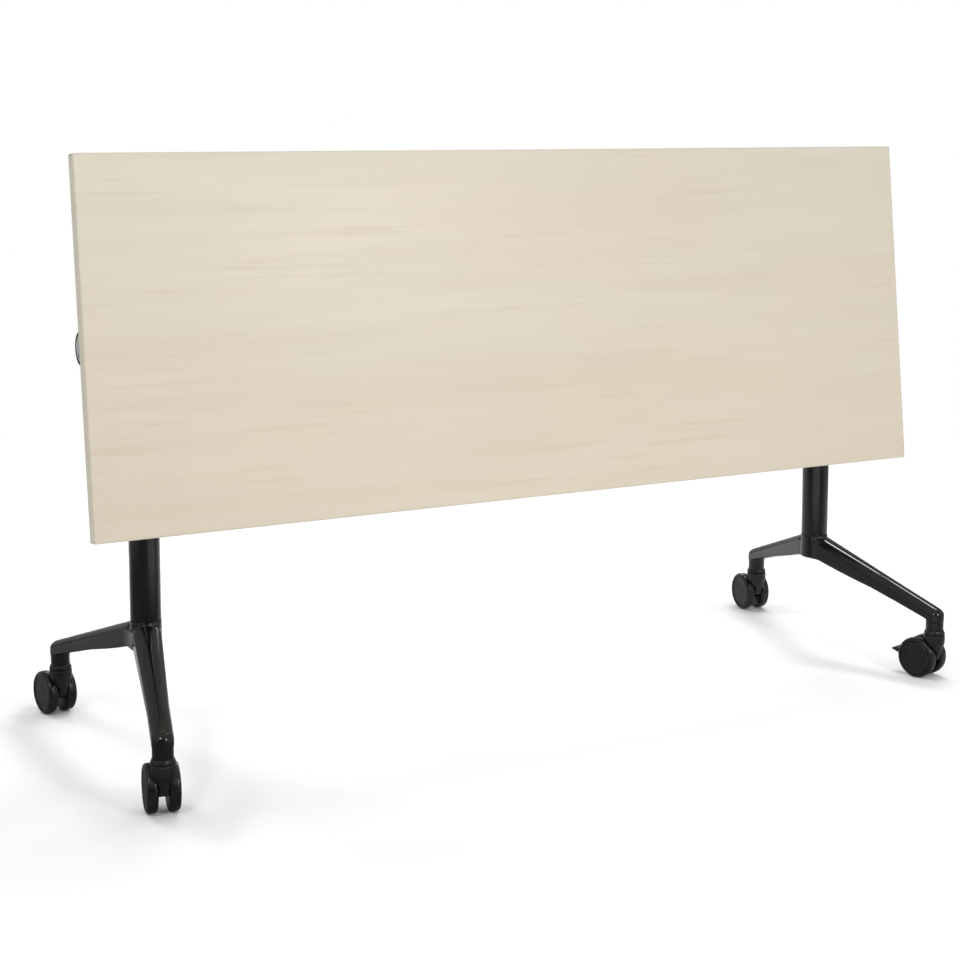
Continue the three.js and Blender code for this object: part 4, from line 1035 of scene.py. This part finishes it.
floor_white = bpy.data.materials.new("studio_floor")
floor_white.use_nodes = True
tree = floor_white.node_tree
paint = tree.nodes["Principled BSDF"]
paint.inputs["Roughness"].default_value = 0.9
ground = add(tree, "ShaderNodeTexCoord").outputs["Object"]
spread = measured(tree, "LENGTH", ground)
# seen in reflections the floor's colour carries painted light: a painted pool of light just in front of
# the table and painted shade towards the room's front; to all other rays it is evenly pale
ahead = measured(tree, "DOT_PRODUCT", ground, ROOM_FRONT)
painted_pool = measured(tree, "DISTANCE", ground, (0.1, -1.05, 0))
painted_light_and_shade = tree.nodes.new("ShaderNodeMath")
painted_light_and_shade.operation = "MAXIMUM"
tree.links.new(ramp_of(tree, ahead, -0.5, 0.3, 0.66, 0.17), painted_light_and_shade.inputs[0])
tree.links.new(ramp_of(tree, painted_pool, 0.45, 0.95, 0.9, 0), painted_light_and_shade.inputs[1])
in_black = add(tree, "ShaderNodeLightPath").outputs["Is Glossy Ray"]
shown = blended(tree, in_black, (0.95, 0.95, 0.95, 1), painted_light_and_shade.outputs[0])
tree.links.new(shown, paint.inputs["Base Color"])
fading = ramp_of(tree, spread, 1.5, 3.2, 1, 0)
fading_in_black = ramp_of(tree, spread, 1.5, 2.2, 1, 0)
tree.links.new(blended(tree, in_black, fading, fading_in_black), paint.inputs["Alpha"])
bpy.ops.object.select_all(action="DESELECT")
bpy.ops.mesh.primitive_circle_add(
    vertices=96, radius=FLOOR_REACH, fill_type="NGON", location=(0, 0, -0.0005),
)
floor = bpy.context.object
floor.name = "studio_floor"
floor.data.materials.append(floor_white)
floor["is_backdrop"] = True

# the room is white all round and dark at its front end, as polished black shows it
AMBIENT = 0.61
world = bpy.data.worlds.new("studio")
bpy.context.scene.world = world
world.use_nodes = True
sky = world.node_tree
outwards = add(sky, "ShaderNodeTexCoord").outputs["Generated"]
facing = measured(sky, "DOT_PRODUCT", outwards, ROOM_FRONT)
walls = add(sky, "ShaderNodeValToRGB", Fac=ramp_of(sky, facing, 1, -1, 0, 1))
stops = walls.color_ramp.elements
stops[0].position, stops[0].color = 0.055, (0.03, 0.03, 0.03, 1)
stops[1].position, stops[1].color = 0.80, (0.32, 0.32, 0.32, 1)
for position, grey in ((0.10, 0.60), (0.40, 0.60)):
    stops.new(position).color = (grey, grey, grey, 1)

# a low dark skirting along the sides of the room draws a line under the crown of the arms
rise = add(sky, "ShaderNodeSeparateXYZ", Vector=outwards).outputs["Z"]
low_down = product(sky, ramp_of(sky, rise, 0, 0.012, 0, 1), ramp_of(sky, rise, 0.085, 0.13, 1, 0))
beside_front = ramp_of(sky, facing, -0.05, 0.3, 1, 0)
beside_back = ramp_of(sky, facing, -0.65, -0.5, 0, 1)
skirting = product(sky, low_down, product(sky, beside_front, beside_back))
room = blended(sky, skirting, walls.outputs[0], (0.06, 0.06, 0.06, 1))
mirrored_room = add(sky, "ShaderNodeBackground", Color=room, Strength=1.0)
ambient = add(sky, "ShaderNodeBackground", Color=(1, 1, 1, 1), Strength=AMBIENT)
backdrop = add(sky, "ShaderNodeBackground", Color=(1, 1, 1, 1), Strength=1.0)
rays = add(sky, "ShaderNodeLightPath").outputs
lit = add(sky, "ShaderNodeMixShader", Fac=rays["Is Glossy Ray"])
sky.links.new(ambient.outputs[0], lit.inputs[1])
sky.links.new(mirrored_room.outputs[0], lit.inputs[2])
seen = add(sky, "ShaderNodeMixShader", Fac=rays["Is Camera Ray"])
sky.links.new(lit.outputs[0], seen.inputs[1])
sky.links.new(backdrop.outputs[0], seen.inputs[2])
sky.links.new(seen.outputs[0], sky.nodes["World Output"].inputs["Surface"])


def soft_light(name, place, aim, width, height, power, in_reflections=True):
    """A soft box that stands at a place and faces its aim."""
    lamp = bpy.data.lights.new(name, "AREA")
    lamp.shape = "RECTANGLE"
    lamp.size, lamp.size_y = width, height
    lamp.energy = power
    holder = bpy.data.objects.new(name, lamp)
    bpy.context.scene.collection.objects.link(holder)
    holder.location = place
    holder.rotation_euler = (Vector(aim) - Vector(place)).to_track_quat("-Z", "Y").to_euler()
    holder.visible_glossy = in_reflections


soft_light("left_box", (-2.9, -2.3, 3.2), (0, 0, 0.5), 0.9, 0.9, 32)
soft_light("right_box", (0.75, -3.8, 2.2), (0, 0, 0.5), 0.9, 0.9, 44)
soft_light("over_strip", (1.75, 0.85, 3.3), (0.7, 0, 0.2), 1.6, 0.45, 36)
soft_light("rear_strip", (1.4, 3.0, 2.0), (0.5, 0, 0.3), 2.4, 0.5, 28)
soft_light("rear_left_fill", (-1.9, 2.9, 3.1), (-0.6, 0, 0.2), 1.4, 0.5, 36, in_reflections=False)

camera = bpy.data.objects.new("camera", bpy.data.cameras.new("camera"))
bpy.context.scene.collection.objects.link(camera)
camera.location = (-1.6096, -2.8800, 1.0327)
camera.rotation_euler = (math.radians(90 - 6.653), 0, math.radians(-28.208))
camera.data.sensor_width = 36
camera.data.lens = 70.28
camera.data.shift_y = -0.1458
bpy.context.scene.camera = camera
bpy.context.scene.view_settings.view_transform = "Standard"

low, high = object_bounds()
